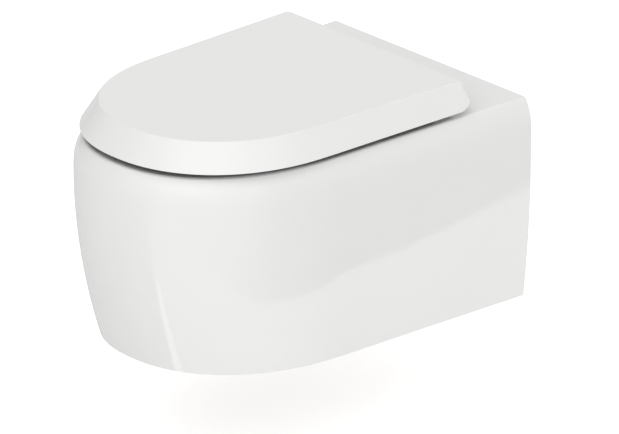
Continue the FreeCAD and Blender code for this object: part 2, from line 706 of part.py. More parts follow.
def hinge_bolt():
    """The screw down through a post, with a round head and a key hole."""
    head_z = ELBOW_Z + POST_HEIGHT
    tail_z = DECK_Z - BUSH_LENGTH - BOLT_NUT_HEIGHT - BOLT_TAIL
    head = post(POST_R, POST_X, POST_Y, head_z, head_z + BOLT_HEAD_HEIGHT)
    key_z = head_z + BOLT_HEAD_HEIGHT - BOLT_KEY_DEPTH
    key = post(BOLT_KEY_R, POST_X, POST_Y, key_z, head_z + BOLT_HEAD_HEIGHT + PAST)
    return joined([head, post(BOLT_R, POST_X, POST_Y, tail_z, head_z)]).cut(key)


def washer_round(x, y, outer, inner, z0, z1):
    """An upright ring."""
    return post(outer, x, y, z0, z1).cut(post(inner, x, y, z0 - PAST, z1 + PAST))


def post_gasket():
    """The soft disc between a post's flange and the glaze."""
    return washer_round(POST_X, POST_Y, POST_FLANGE_R, BOLT_R + BOLT_CLEARANCE, DECK_Z, FLANGE_Z)


def anchor_bush():
    """The rubber bush that swells in the deck hole."""
    return washer_round(POST_X, POST_Y, DECK_HOLE_R - BUSH_CLEARANCE, BOLT_R + BOLT_CLEARANCE,
                        DECK_Z - BUSH_LENGTH, DECK_Z)


def anchor_nut():
    """The round nut that pulls up on a bush."""
    top = DECK_Z - BUSH_LENGTH
    return washer_round(POST_X, POST_Y, BOLT_NUT_R, BOLT_R, top - BOLT_NUT_HEIGHT, top)


def wall_ring(x, outer, inner, depth0, depth1):
    """A ring square to the wall at a fixing hole."""
    outside = wall_bar(outer, x, 0, depth0, depth1)
    return outside.cut(wall_bar(inner, x, 0, depth0 - PAST, depth1 + PAST))


def fixing_sleeve():
    """The plastic sleeve that keeps a wall stud off the ceramic."""
    x = FIXING_SPACING / 2
    tube = wall_ring(x, FIXING_HOLE_R - SLEEVE_CLEARANCE, SLEEVE_BORE_R, 0.0, REAR_WALL)
    flange = wall_ring(x, SLEEVE_FLANGE_R, SLEEVE_BORE_R, REAR_WALL,
                       REAR_WALL + SLEEVE_FLANGE_THICKNESS)
    return joined([tube, flange])


def fixing_washer():
    """The steel washer on a sleeve's flange."""
    start = REAR_WALL + SLEEVE_FLANGE_THICKNESS
    return wall_ring(FIXING_SPACING / 2, WASHER_R, SLEEVE_BORE_R, start, start + WASHER_THICKNESS)


def fixing_nut():
    """The hexagon nut for a wall stud."""
    start = REAR_WALL + SLEEVE_FLANGE_THICKNESS + WASHER_THICKNESS
    x = FIXING_SPACING / 2
    corner_r = NUT_ACROSS_FLATS / math.sqrt(3)
    corners = []
    for step in range(7):
        turn = math.radians(60 * step)
        corners.append(Vector(x + corner_r * math.cos(turn), -start, corner_r * math.sin(turn)))
    hexagon = Part.Face(Part.makePolygon(corners)).extrude(Vector(0, -NUT_HEIGHT, 0))
    return hexagon.cut(wall_bar(NUT_BORE_R, x, 0, start - PAST, start + NUT_HEIGHT + PAST))


def flush_guide():
    """The spreader in the flush outlet: a closed tube with a window to each side."""
    z = FLUSH_ABOVE_FIXINGS
    end = BOWL_MOUTH_BACK + GUIDE_INTO_BOWL
    radius = FLUSH_CHANNEL_R - GUIDE_CLEARANCE
    tube = wall_bar(radius, 0, z, end - GUIDE_LENGTH, end)
    bore = wall_bar(radius - GUIDE_WALL, 0, z, end - GUIDE_LENGTH - PAST, end - GUIDE_WALL)
    window = box(-radius, radius, -end + GUIDE_WALL, -end + GUIDE_WALL + GUIDE_WINDOW_LENGTH,
                 z - GUIDE_WINDOW_HEIGHT / 2, z + GUIDE_WINDOW_HEIGHT / 2)
    return tube.cut([bore, window])


def seat_buffers():
    """The four soft feet between the ring and the rim."""
    made = []
    for x, depth in ((SEAT_BUFFER_X, SEAT_BUFFER_BACK), (SEAT_BUFFER_FRONT_X, SEAT_BUFFER_FRONT)):
        foot = box(x - BUFFER_HALF_WIDTH, x + BUFFER_HALF_WIDTH, -depth - BUFFER_HALF_LENGTH,
                   -depth + BUFFER_HALF_LENGTH, DECK_Z, SEAT_Z)
        uprights = [edge for edge in foot.Edges if edge.BoundBox.ZLength > PAST]
        made += both(foot.makeFillet(BUFFER_HALF_WIDTH - BUFFER_FLAT_END / 2, uprights))
    return made


def lid_buffers():
    """The four soft studs between the lid and the ring."""
    made = []
    for x, depth in ((LID_BUFFER_X, LID_BUFFER_BACK), (LID_BUFFER_FRONT_X, LID_BUFFER_FRONT)):
        made += both(post(LID_BUFFER_R, x, -depth, SEAT_TOP_Z, LID_INSIDE_Z))
    return made


def write(name, shapes):
    """Write one node."""
    Part.makeCompound(shapes).exportStep("parts/" + name + ".step")


def main():
    """Build every piece and write it."""
    os.makedirs("parts", exist_ok=True)
    seat_tip = ARM_TOP_Z + SEAT_SCREW_BITE
    lid_plate_z = LID_INSIDE_Z - LID_ARM_THICKNESS
    elbow = hinge_elbow()
    write("pan", [pan()])
    write("deck", [deck()])
    write("rear_wall", [rear_wall()])
    write("bowl", [bowl()])
    write("sump", [sump()])
    write("trap", [trap()])
    write("flush_channel", [flush_channel()])
    write("lid", [lid()])
    write("seat_ring", [seat_ring()])
    write("seat_buffers", seat_buffers())
    write("lid_buffers", lid_buffers())
    write("hinge_elbow_right", [elbow])
    write("hinge_elbow_left", [mirrored(elbow)])
    write("elbow_clips", both(elbow_clip()))
    write("hinge_pins", both(hinge_pin()))
    write("hinge_posts", both(hinge_post()))
    write("hinge_bolts", both(hinge_bolt()))
    write("post_gaskets", both(post_gasket()))
    write("anchor_bushes", both(anchor_bush()))
    write("anchor_nuts", both(anchor_nut()))
    write("seat_arms", both(seat_arm()))
    write("seat_arm_screws", screws(seat_screw_places(), ARM_TOP_Z - ARM_THICKNESS, seat_tip))
    write("lid_arms", both(lid_arm()))
    write("lid_arm_screws", screws(lid_screw_places(), lid_plate_z, LID_INSIDE_Z + LID_SCREW_BITE))
    write("seat_damper", [mirrored(sleeve(SEAT_KNUCKLE_X))])
    write("seat_hinge_bush", [sleeve(SEAT_KNUCKLE_X)])
    write("lid_damper", [sleeve(LID_KNUCKLE_X)])
    write("lid_hinge_bush", [mirrored(sleeve(LID_KNUCKLE_X))])
    write("fixing_sleeves", both(fixing_sleeve()))
    write("fixing_washers", both(fixing_washer()))
    write("fixing_nuts", both(fixing_nut()))
    write("flush_guide", [flush_guide()])


main()
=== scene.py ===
"""Looks of a wall hung toilet: glaze, seat plastic, hinge metal, small hardware and studio.

Everything is in metres in the frame of the solids: +Z up, the wall is the plane y = 0 and the
pan reaches towards -Y.
"""
from __future__ import annotations

import json
import logging
import math
from dataclasses import dataclass
from enum import Enum
from typing import Callable, Sequence

import bmesh
import bpy
from mathutils import Matrix, Vector

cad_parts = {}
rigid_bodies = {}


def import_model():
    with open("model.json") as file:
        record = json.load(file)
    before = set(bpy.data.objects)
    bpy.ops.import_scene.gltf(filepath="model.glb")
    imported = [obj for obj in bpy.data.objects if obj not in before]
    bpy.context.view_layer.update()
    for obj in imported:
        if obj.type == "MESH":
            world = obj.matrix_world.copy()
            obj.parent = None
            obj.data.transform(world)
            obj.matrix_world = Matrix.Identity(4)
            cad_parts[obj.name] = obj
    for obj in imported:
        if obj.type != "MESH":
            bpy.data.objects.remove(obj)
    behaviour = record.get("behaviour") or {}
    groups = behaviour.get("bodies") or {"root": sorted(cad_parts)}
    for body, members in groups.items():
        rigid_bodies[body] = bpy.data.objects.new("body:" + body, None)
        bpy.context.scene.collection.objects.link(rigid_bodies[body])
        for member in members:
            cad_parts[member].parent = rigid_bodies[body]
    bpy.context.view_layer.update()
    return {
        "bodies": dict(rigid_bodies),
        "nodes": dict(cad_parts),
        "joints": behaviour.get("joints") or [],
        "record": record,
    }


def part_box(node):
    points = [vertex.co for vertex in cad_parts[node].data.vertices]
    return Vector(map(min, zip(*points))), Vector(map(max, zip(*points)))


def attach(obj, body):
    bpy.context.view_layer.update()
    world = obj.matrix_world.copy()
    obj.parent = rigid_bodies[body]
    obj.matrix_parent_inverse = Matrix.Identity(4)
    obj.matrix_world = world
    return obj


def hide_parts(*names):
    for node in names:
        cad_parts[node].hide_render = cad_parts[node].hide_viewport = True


LOG = logging.getLogger("toilet")
MM = 0.001
FULL_TURN = 2 * math.pi
THREAD_STEPS = 6

Colour = tuple[float, float, float, float]
Radius = Callable[[float], float]
Value = "float | bpy.types.NodeSocket"


class Axis(Enum):
    """Which way a turned form's own +Z points in the frame."""

    DOWN = Matrix.Rotation(math.pi, 4, "X")
    OUT_OF_WALL = Matrix.Rotation(math.pi / 2, 4, "X")
    RIGHT = Matrix.Rotation(math.pi / 2, 4, "Y")


class Coat(Enum):
    """Which side of a piece of the casting is glazed."""

    OUTSIDE = "outside"
    INSIDE = "inside"
    TOP = "top"
    PIPE = "pipe"
    NONE = "none"


class Drive(Enum):
    """The key hole in a screw's head."""

    CROSS = "cross"
    HEXAGON = "hexagon"


# Node trees


class Graph:
    """A node tree under construction, of a material, a group or the world."""

    def __init__(self, tree: bpy.types.NodeTree) -> None:
        """Starts on a tree.

        Args:
            tree: the tree to fill.
        """
        self.tree = tree

    def add(self, kind: str, inputs: dict | None = None, **settings: object) -> bpy.types.Node:
        """Adds a node.

        Args:
            kind: the node's type without its "ShaderNode" prefix.
            inputs: values or sockets for the node's inputs, by name or number.
            settings: attributes of the node.

        Returns:
            The node.
        """
        node = self.tree.nodes.new("ShaderNode" + kind)
        for key, value in settings.items():
            setattr(node, key, value)
        for key, value in (inputs or {}).items():
            if isinstance(value, bpy.types.NodeSocket):
                self.tree.links.new(value, node.inputs[key])
            else:
                node.inputs[key].default_value = value
        return node

    def math(self, operation: str, *values: Value, clamp: bool = False) -> bpy.types.NodeSocket:
        """Works out a number from one, two or three others.

        Args:
            operation: the Math node's operation.
            values: numbers or sockets.
            clamp: whether the result is kept between 0 and 1.

        Returns:
            The result's socket.
        """
        inputs = dict(enumerate(values))
        return self.add("Math", inputs, operation=operation, use_clamp=clamp).outputs[0]

    def remap(self, value: bpy.types.NodeSocket, low: float, high: float,
              to_low: Value = 0.0, to_high: Value = 1.0) -> bpy.types.NodeSocket:
        """Maps a range smoothly to another.

        Args:
            value: the number to map.
            low: the start of its range.
            high: the end of its range.
            to_low: the result at low.
            to_high: the result at high.

        Returns:
            The result's socket.
        """
        inputs = {"Value": value, "From Min": low, "From Max": high,
                  "To Min": to_low, "To Max": to_high}
        return self.add("MapRange", inputs, interpolation_type="SMOOTHSTEP").outputs[0]

    def blend(self, factor: Value, first: Colour | bpy.types.NodeSocket,
              second: Colour | bpy.types.NodeSocket) -> bpy.types.NodeSocket:
        """Mixes two colours.

        Args:
            factor: how much of the second.
            first: the colour at 0.
            second: the colour at 1.

        Returns:
            The mixed colour's socket.
        """
        inputs = {0: factor, 6: first, 7: second}
        return self.add("Mix", inputs, data_type="RGBA").outputs[2]

    def mix_value(self, factor: Value, first: Value, second: Value) -> bpy.types.NodeSocket:
        """Mixes two numbers.

        Args:
            factor: how much of the second.
            first: the number at 0.
            second: the number at 1.

        Returns:
            The mixed number's socket.
        """
        return self.add("Mix", {0: factor, 2: first, 3: second}).outputs[0]

    def effect(self, group: bpy.types.NodeTree, **inputs: Value) -> bpy.types.NodeSocket:
        """Places a shared effect.

        Args:
            group: the effect's group.
            inputs: its values, by input name with _ for a space.

        Returns:
            The effect's only output.
        """
        node = self.tree.nodes.new("ShaderNodeGroup")
        node.node_tree = group
        for key, value in inputs.items():
            socket = node.inputs[key.replace("_", " ")]
            if isinstance(value, bpy.types.NodeSocket):
                self.tree.links.new(value, socket)
            else:
                socket.default_value = value
        return node.outputs[0]

    def bump(self, height: bpy.types.NodeSocket, distance: float, strength: float = 1.0,
             normal: bpy.types.NodeSocket | None = None) -> bpy.types.NodeSocket:
        """Turns a height into a normal.

        Args:
            height: the height, from 0 to 1.
            distance: metres at height 1.
            strength: how much of the bump shows.
            normal: another bump's normal to start from.

        Returns:
            The normal's socket.
        """
        inputs: dict = {"Height": height, "Distance": distance, "Strength": strength}
        if normal is not None:
            inputs["Normal"] = normal
        return self.add("Bump", inputs).outputs[0]


class Effects:
    """Shared effects as node groups, each built once with named inputs and one output."""

    @staticmethod
    def group(name: str, inputs: dict[str, float], output: str,
              fill: Callable[[Graph, dict], bpy.types.NodeSocket]) -> bpy.types.NodeTree:
        """Makes a group, or finds it if it is there.

        Args:
            name: the group's name.
            inputs: the inputs and their starting values.
            output: the output's name.
            fill: makes the nodes from the inputs' sockets and returns the result's socket.

        Returns:
            The group.
        """
        found = bpy.data.node_groups.get(name)
        if found:
            return found
        tree = bpy.data.node_groups.new(name, "ShaderNodeTree")
        for label, start in inputs.items():
            socket = tree.interface.new_socket(label, in_out="INPUT", socket_type="NodeSocketFloat")
            socket.default_value = start
        tree.interface.new_socket(output, in_out="OUTPUT", socket_type="NodeSocketFloat")
        source = tree.nodes.new("NodeGroupInput")
        sink = tree.nodes.new("NodeGroupOutput")
        sockets = {label: source.outputs[label] for label in inputs}
        tree.links.new(fill(Graph(tree), sockets), sink.inputs[0])
        return tree

    @classmethod
    def ripple(cls) -> bpy.types.NodeTree:
        """Soft waves of a surface that was once wet or moulded.

        Returns:
            The effect's group.
        """
        def fill(graph: Graph, given: dict) -> bpy.types.NodeSocket:
            """Makes the nodes.

            Args:
                graph: the group's graph.
                given: the sockets of its inputs, by name.

            Returns:
                The socket of the height.
            """
            place = graph.add("TexCoord").outputs["Object"]
            wide = graph.add("TexNoise", {"Vector": place, "Scale": given["Scale"],
                                          "Detail": 1.0}).outputs[0]
            fine_scale = graph.math("MULTIPLY", given["Scale"], 5.0)
            fine = graph.add("TexNoise", {"Vector": place, "Scale": fine_scale,
                                          "Detail": 2.0}).outputs[0]
            share = graph.math("MULTIPLY", fine, given["Fine"])
            return graph.math("ADD", wide, share)
        return cls.group("surface_ripple", {"Scale": 20.0, "Fine": 0.2}, "Height", fill)

    @classmethod
    def scratches(cls) -> bpy.types.NodeTree:
        """Fine hairlines in two directions, left by wiping.

        Returns:
            The effect's group.
        """
        def fill(graph: Graph, given: dict) -> bpy.types.NodeSocket:
            """Makes the nodes.

            Args:
                graph: the group's graph.
                given: the sockets of its inputs, by name.

            Returns:
                The socket of the mask.
            """
            place = graph.add("TexCoord").outputs["Object"]
            masks = []
            for turn in (0.4, 1.9):
                turned = graph.add("Mapping", {"Vector": place, "Rotation": (0.2, turn, turn),
                                               "Scale": (1.0, 22.0, 3.0)}).outputs[0]
                noise = graph.add("TexNoise", {"Vector": turned, "Scale": given["Scale"],
                                               "Detail": 3.0}).outputs[0]
                masks.append(graph.remap(noise, 0.62, 0.70))
            return graph.math("MULTIPLY", graph.math("MAXIMUM", *masks), given["Amount"])
        return cls.group("wiping_scratches", {"Scale": 60.0, "Amount": 0.5}, "Mask", fill)

    @classmethod
    def specks(cls) -> bpy.types.NodeTree:
        """Tiny sparse dots, such as pin holes and moulding flecks.

        Returns:
            The effect's group.
        """
        def fill(graph: Graph, given: dict) -> bpy.types.NodeSocket:
            """Makes the nodes.

            Args:
                graph: the group's graph.
                given: the sockets of its inputs, by name.

            Returns:
                The socket of the mask.
            """
            place = graph.add("TexCoord").outputs["Object"]
            cells = graph.add("TexVoronoi", {"Vector": place, "Scale": given["Scale"]})
            dot = graph.math("LESS_THAN", cells.outputs["Distance"], given["Size"])
            pick = graph.add("SeparateColor", {0: cells.outputs["Color"]}).outputs[0]
            rare = graph.math("GREATER_THAN", pick, 0.8)
            return graph.math("MULTIPLY", dot, rare)
        return cls.group("sparse_specks", {"Scale": 200.0, "Size": 0.1}, "Mask", fill)

    @classmethod
    def edge_wear(cls) -> bpy.types.NodeTree:
        """Where an edge is rubbed, broken up by noise.

        Returns:
            The effect's group.
        """
        def fill(graph: Graph, given: dict) -> bpy.types.NodeSocket:
            """Makes the nodes.

            Args:
                graph: the group's graph.
                given: the sockets of its inputs, by name.

            Returns:
                The socket of the mask.
            """
            flat = graph.add("NewGeometry").outputs["Normal"]
            rounded = graph.add("Bevel", {"Radius": given["Radius"]}, samples=4).outputs[0]
            match = graph.add("VectorMath", {0: flat, 1: rounded}, operation="DOT_PRODUCT")
            edge = graph.remap(match.outputs["Value"], 0.999, 0.90)
            place = graph.add("TexCoord").outputs["Object"]
            noise = graph.add("TexNoise", {"Vector": place, "Scale": 700.0, "Detail": 4.0})
            broken = graph.remap(noise.outputs[0], 0.35, 0.6)
            return graph.math("MULTIPLY", graph.math("MULTIPLY", edge, broken), given["Amount"])
        return cls.group("edge_wear", {"Radius": 0.0004, "Amount": 0.6}, "Mask", fill)

    @classmethod
    def crevice(cls) -> bpy.types.NodeTree:
        """Painted shade where light doesn't reach, in gaps and inner corners.

        Returns:
            The effect's group.
        """
        def fill(graph: Graph, given: dict) -> bpy.types.NodeSocket:
            """Makes the nodes.

            Args:
                graph: the group's graph.
                given: the sockets of its inputs, by name.

            Returns:
                The socket of the mask.
            """
            open_share = graph.add("AmbientOcclusion", {"Distance": given["Reach"]},
                                   samples=6).outputs["AO"]
            # painted shade mask: the less open the surroundings, the more shade is painted into the
            # colour
            closed = graph.math("SUBTRACT", 1.0, open_share)
            return graph.math("MULTIPLY", closed, given["Amount"], clamp=True)
        return cls.group("painted_crevice_shade", {"Reach": 0.01, "Amount": 0.5}, "Mask", fill)

    @classmethod
    def grain(cls) -> bpy.types.NodeTree:
        """Lines of drawn or turned metal along the frame's X.

        Returns:
            The effect's group.
        """
        def fill(graph: Graph, given: dict) -> bpy.types.NodeSocket:
            """Makes the nodes.

            Args:
                graph: the group's graph.
                given: the sockets of its inputs, by name.

            Returns:
                The socket of the mask.
            """
            place = graph.add("TexCoord").outputs["Object"]
            drawn = graph.add("Mapping", {"Vector": place, "Scale": (0.04, 1.0, 1.0)}).outputs[0]
            noise = graph.add("TexNoise", {"Vector": drawn, "Scale": given["Scale"],
                                           "Detail": 5.0}).outputs[0]
            return graph.remap(noise, 0.3, 0.7)
        return cls.group("metal_grain", {"Scale": 2500.0}, "Mask", fill)


# Finishes


def new_material(name: str) -> tuple[bpy.types.Material, Graph, bpy.types.Node]:
    """Makes a material with its Principled shader.

    Args:
        name: the material's name.

    Returns:
        The material, its graph and the shader's node.
    """
    material = bpy.data.materials.new(name)
    material.use_nodes = True
    shader = material.node_tree.nodes["Principled BSDF"]
    return material, Graph(material.node_tree), shader


def connect(graph: Graph, shader: bpy.types.Node, **inputs: Value | Colour) -> None:
    """Sets or links a shader's inputs.

    Args:
        graph: the material's graph.
        shader: the Principled node.
        inputs: values or sockets by input name with _ for a space.
    """
    for key, value in inputs.items():
        socket = shader.inputs[key.replace("_", " ")]
        if isinstance(value, bpy.types.NodeSocket):
            graph.tree.links.new(value, socket)
        else:
            socket.default_value = value


@dataclass(frozen=True)
class GlazedCeramic:
    """White glaze over a cream body that stays bare where nobody sees or touches it."""

    name: str
    coat: Coat
    glaze: Colour = (0.905, 0.905, 0.893, 1.0)
    glaze_shade: Colour = (0.885, 0.888, 0.880, 1.0)
    pin_hole: Colour = (0.55, 0.50, 0.42, 1.0)
    # the grey of the shade painted into the glaze in gaps and inner corners
    painted_shade_colour: Colour = (0.30, 0.30, 0.30, 1.0)
    bare: Colour = (0.80, 0.765, 0.69, 1.0)
    bare_shade: Colour = (0.70, 0.66, 0.585, 1.0)
    glaze_roughness: float = 0.07
    bare_roughness: float = 0.78
    side_end: float = -0.298
    bowl_middle: float = -0.305
    pipe_reach: float = 0.05

    def build(self) -> bpy.types.Material:
        """Makes the material.

        Returns:
            The material.
        """
        material, graph, shader = new_material(self.name)
        cover = self.glaze_cover(graph)
        tone = graph.effect(Effects.ripple(), Scale=7.0, Fine=0.3)
        pale = graph.blend(graph.remap(tone, 0.4, 0.9, 0.0, 0.5), self.glaze, self.glaze_shade)
        speck = graph.effect(Effects.specks(), Scale=260.0, Size=0.05)
        glazed = graph.blend(graph.math("MULTIPLY", speck, 0.10), pale, self.pin_hole)
        # painted shade: the glaze darkens towards grey in gaps and inner corners, where the
        # surroundings close in
        shade = graph.effect(Effects.crevice(), Reach=0.02, Amount=0.95)
        glazed = graph.blend(shade, glazed, self.painted_shade_colour)
        cast = graph.effect(Effects.ripple(), Scale=90.0, Fine=0.8)
        clay = graph.blend(graph.remap(cast, 0.5, 1.1), self.bare, self.bare_shade)
        wave = graph.effect(Effects.ripple(), Scale=11.0, Fine=0.06)
        smooth = graph.bump(wave, 0.0006, 0.16)
        sandy = graph.bump(cast, 0.0003, 0.5, smooth)
        normal = graph.add("Mix", {0: cover, 4: sandy, 5: smooth}, data_type="VECTOR").outputs[1]
        connect(graph, shader,
                Base_Color=graph.blend(cover, clay, glazed),
                Roughness=graph.mix_value(cover, self.bare_roughness, self.glaze_roughness),
                Normal=normal, IOR=1.52)
        return material

    def glaze_cover(self, graph: Graph) -> Value:
        """Works out where the glaze is.

        Args:
            graph: the material's graph.

        Returns:
            A socket, or a number, that is 1 on glaze and 0 on the bare body.
        """
        if self.coat is Coat.NONE:
            return 0.0
        if self.coat is Coat.PIPE:
            open_share = graph.add("AmbientOcclusion", {"Distance": self.pipe_reach}, samples=8,
                                   only_local=True).outputs["AO"]
            return graph.remap(open_share, 0.62, 0.45)
        point = graph.add("TexCoord").outputs["Object"]
        normal = graph.add("NewGeometry").outputs["True Normal"]
        place = graph.add("SeparateXYZ", {0: point}).outputs
        facing = graph.add("SeparateXYZ", {0: normal}).outputs
        if self.coat is Coat.TOP:
            return graph.math("GREATER_THAN", facing[2], -0.5)
        across = graph.math("MULTIPLY", facing[0], place[0])
        if self.coat is Coat.OUTSIDE:
            forward = graph.math("MINIMUM", graph.math("SUBTRACT", place[1], self.side_end), 0.0)
            outward = graph.math("ADD", across, graph.math("MULTIPLY", facing[1], forward))
            skirt = graph.math("GREATER_THAN", outward, 0.03)
            shown = graph.math("MAXIMUM", skirt, graph.math("GREATER_THAN", facing[2], 0.5))
            return graph.math("MULTIPLY", shown, graph.math("LESS_THAN", facing[1], 0.9))
        forward = graph.math("SUBTRACT", place[1], self.bowl_middle)
        outward = graph.math("ADD", across, graph.math("MULTIPLY", facing[1], forward))
        lifted = graph.math("MULTIPLY_ADD", facing[2], -0.02, outward)
        return graph.math("LESS_THAN", lifted, 0.0)


@dataclass(frozen=True)
class Plastic:
    """A moulded plastic, from glossy thermoset to dull nylon."""

    name: str
    colour: Colour
    shade: Colour
    roughness: float
    texture_scale: float
    texture_depth: float
    scratch_amount: float
    # how much shade is painted into gaps and inner corners
    painted_shade_amount: float = 0.5

    def build(self) -> bpy.types.Material:
        """Makes the material.

        Returns:
            The material.
        """
        material, graph, shader = new_material(self.name)
        tone = graph.effect(Effects.ripple(), Scale=9.0, Fine=0.3)
        base = graph.blend(graph.remap(tone, 0.35, 0.95, 0.0, 0.35), self.colour, self.shade)
        fleck = graph.effect(Effects.specks(), Scale=420.0, Size=0.07)
        base = graph.blend(graph.math("MULTIPLY", fleck, 0.06), base, self.shade)
        # painted shade: gaps and inner corners darken towards a third of the darker tone
        closed = graph.effect(Effects.crevice(), Reach=0.012, Amount=self.painted_shade_amount)
        base = graph.blend(closed, base, tuple(0.35 * c for c in self.shade[:3]) + (1.0,))
        lines = graph.effect(Effects.scratches(), Scale=70.0, Amount=self.scratch_amount)
        rough = graph.math("ADD", self.roughness, graph.math("MULTIPLY", lines, 0.12))
        grain = graph.effect(Effects.ripple(), Scale=self.texture_scale, Fine=0.5)
        connect(graph, shader, Base_Color=base, Roughness=rough,
                Normal=graph.bump(grain, self.texture_depth, 0.3), IOR=1.5)
        return material


@dataclass(frozen=True)
class Rubber:
    """A soft dull elastomer with a bloom on it."""

    name: str
    colour: Colour
    bloom: Colour
    roughness: float = 0.62

    def build(self) -> bpy.types.Material:
        """Makes the material.

        Returns:
            The material.
        """
        material, graph, shader = new_material(self.name)
        cloud = graph.effect(Effects.ripple(), Scale=240.0, Fine=0.8)
        base = graph.blend(graph.remap(cloud, 0.5, 1.2), self.colour, self.bloom)
        fine = graph.effect(Effects.ripple(), Scale=1400.0, Fine=0.6)
        connect(graph, shader, Base_Color=base, Roughness=self.roughness,
                Normal=graph.bump(fine, 0.0001, 0.5), Sheen_Weight=0.15, IOR=1.45)
        return material


@dataclass(frozen=True)
class Metal:
    """A metal, from polished plating to drawn wire."""

    name: str
    colour: Colour
    worn: Colour
    roughness: float
    grain_depth: float
    wear: float

    def build(self) -> bpy.types.Material:
        """Makes the material.

        Returns:
            The material.
        """
        material, graph, shader = new_material(self.name)
        lines = graph.effect(Effects.grain(), Scale=2600.0)
        cloud = graph.effect(Effects.ripple(), Scale=160.0, Fine=0.6)
        rubbed = graph.effect(Effects.edge_wear(), Radius=0.0004, Amount=self.wear)
        stain = graph.blend(graph.remap(cloud, 0.6, 1.2, 0.0, 0.25), self.colour, self.worn)
        base = graph.blend(rubbed, stain, self.worn)
        spread = graph.math("MULTIPLY", graph.math("ADD", cloud, lines), 0.5 * self.roughness)
        rough = graph.math("ADD", spread, graph.math("MULTIPLY", rubbed, 0.15))
        connect(graph, shader, Base_Color=base, Metallic=1.0, Roughness=rough,
                Normal=graph.bump(lines, self.grain_depth, 0.4))
        return material


@dataclass(frozen=True)
class Finishes:
    """Every finish of the object, by the record's slot names."""

    def build(self) -> dict[str, bpy.types.Material]:
        """Makes every material.

        Returns:
            The materials by name.
        """
        kinds = (
            GlazedCeramic("glaze_skirt", Coat.OUTSIDE),
            GlazedCeramic("glaze_deck", Coat.TOP),
            GlazedCeramic("glaze_bowl", Coat.INSIDE),
            GlazedCeramic("glaze_trap", Coat.PIPE),
            GlazedCeramic("bare_casting", Coat.NONE),
            Plastic("seat_plastic", (0.915, 0.915, 0.903, 1.0), (0.895, 0.895, 0.885, 1.0),
                    0.16, 16.0, 0.0004, 0.35, 0.9),
            Rubber("buffer_rubber", (0.74, 0.74, 0.72, 1.0), (0.80, 0.80, 0.79, 1.0)),
            Rubber("anchor_rubber", (0.028, 0.028, 0.028, 1.0), (0.075, 0.073, 0.07, 1.0)),
            Metal("hinge_chrome", (0.80, 0.81, 0.82, 1.0), (0.66, 0.665, 0.67, 1.0),
                  0.09, 0.00001, 0.35),
            Metal("steel", (0.60, 0.60, 0.59, 1.0), (0.72, 0.72, 0.71, 1.0), 0.34, 0.00003, 0.6),
            Metal("spring_steel", (0.46, 0.46, 0.46, 1.0), (0.62, 0.62, 0.61, 1.0),
                  0.30, 0.00003, 0.5),
            Metal("zinc_steel", (0.62, 0.64, 0.67, 1.0), (0.74, 0.74, 0.72, 1.0),
                  0.44, 0.00002, 0.5),
            Plastic("damper_plastic", (0.045, 0.045, 0.05, 1.0), (0.07, 0.07, 0.075, 1.0),
                    0.42, 1500.0, 0.0001, 0.5),
            Plastic("bush_plastic", (0.82, 0.82, 0.785, 1.0), (0.76, 0.755, 0.70, 1.0),
                    0.46, 1200.0, 0.0001, 0.4),
            Plastic("guide_plastic", (0.86, 0.865, 0.86, 1.0), (0.80, 0.81, 0.81, 1.0),
                    0.38, 1200.0, 0.0001, 0.4),
        )
        made = {kind.name: kind.build() for kind in kinds}
        LOG.info("%d materials", len(made))
        return made


# Mesh making


def circle(radius: float) -> Radius:
    """A plain round section."""
    return lambda turn: radius


def hexagon(across_flats: float) -> Radius:
    """A hexagon's radius over a turn, with a flat at turn 0."""
    sixth = FULL_TURN / 6
    return lambda turn: across_flats / 2 / math.cos((turn + sixth / 2) % sixth - sixth / 2)


def cross(length: float, width: float) -> Radius:
    """A cross recess's section.

    Args:
        length: the length of each slot.
        width: its width.

    Returns:
        The recess's radius over a turn.
    """
    def radius(turn: float) -> float:
        """The radius at one turn.

        Args:
            turn: the angle from the first slot.

        Returns:
            The radius.
        """
        part = (turn + math.pi / 4) % (math.pi / 2) - math.pi / 4
        side = width / 2 / max(abs(math.sin(part)), 1e-6)
        return min(length / 2 / math.cos(part), side)
    return radius


def knurl(radius: float, depth: float, count: int) -> Radius:
    """A round section with fine ridges along it."""
    return lambda turn: radius - depth * (0.5 - 0.5 * math.cos(count * turn))


def thread(radius: float, depth: float, phase: float) -> Radius:
    """A section through a screw thread, at a phase of its pitch."""
    return lambda turn: radius - depth * abs(2 * ((phase - turn / FULL_TURN) % 1.0) - 1.0)


def smaller(first: Radius, second: Radius) -> Radius:
    """The smaller of two sections at each turn."""
    return lambda turn: min(first(turn), second(turn))


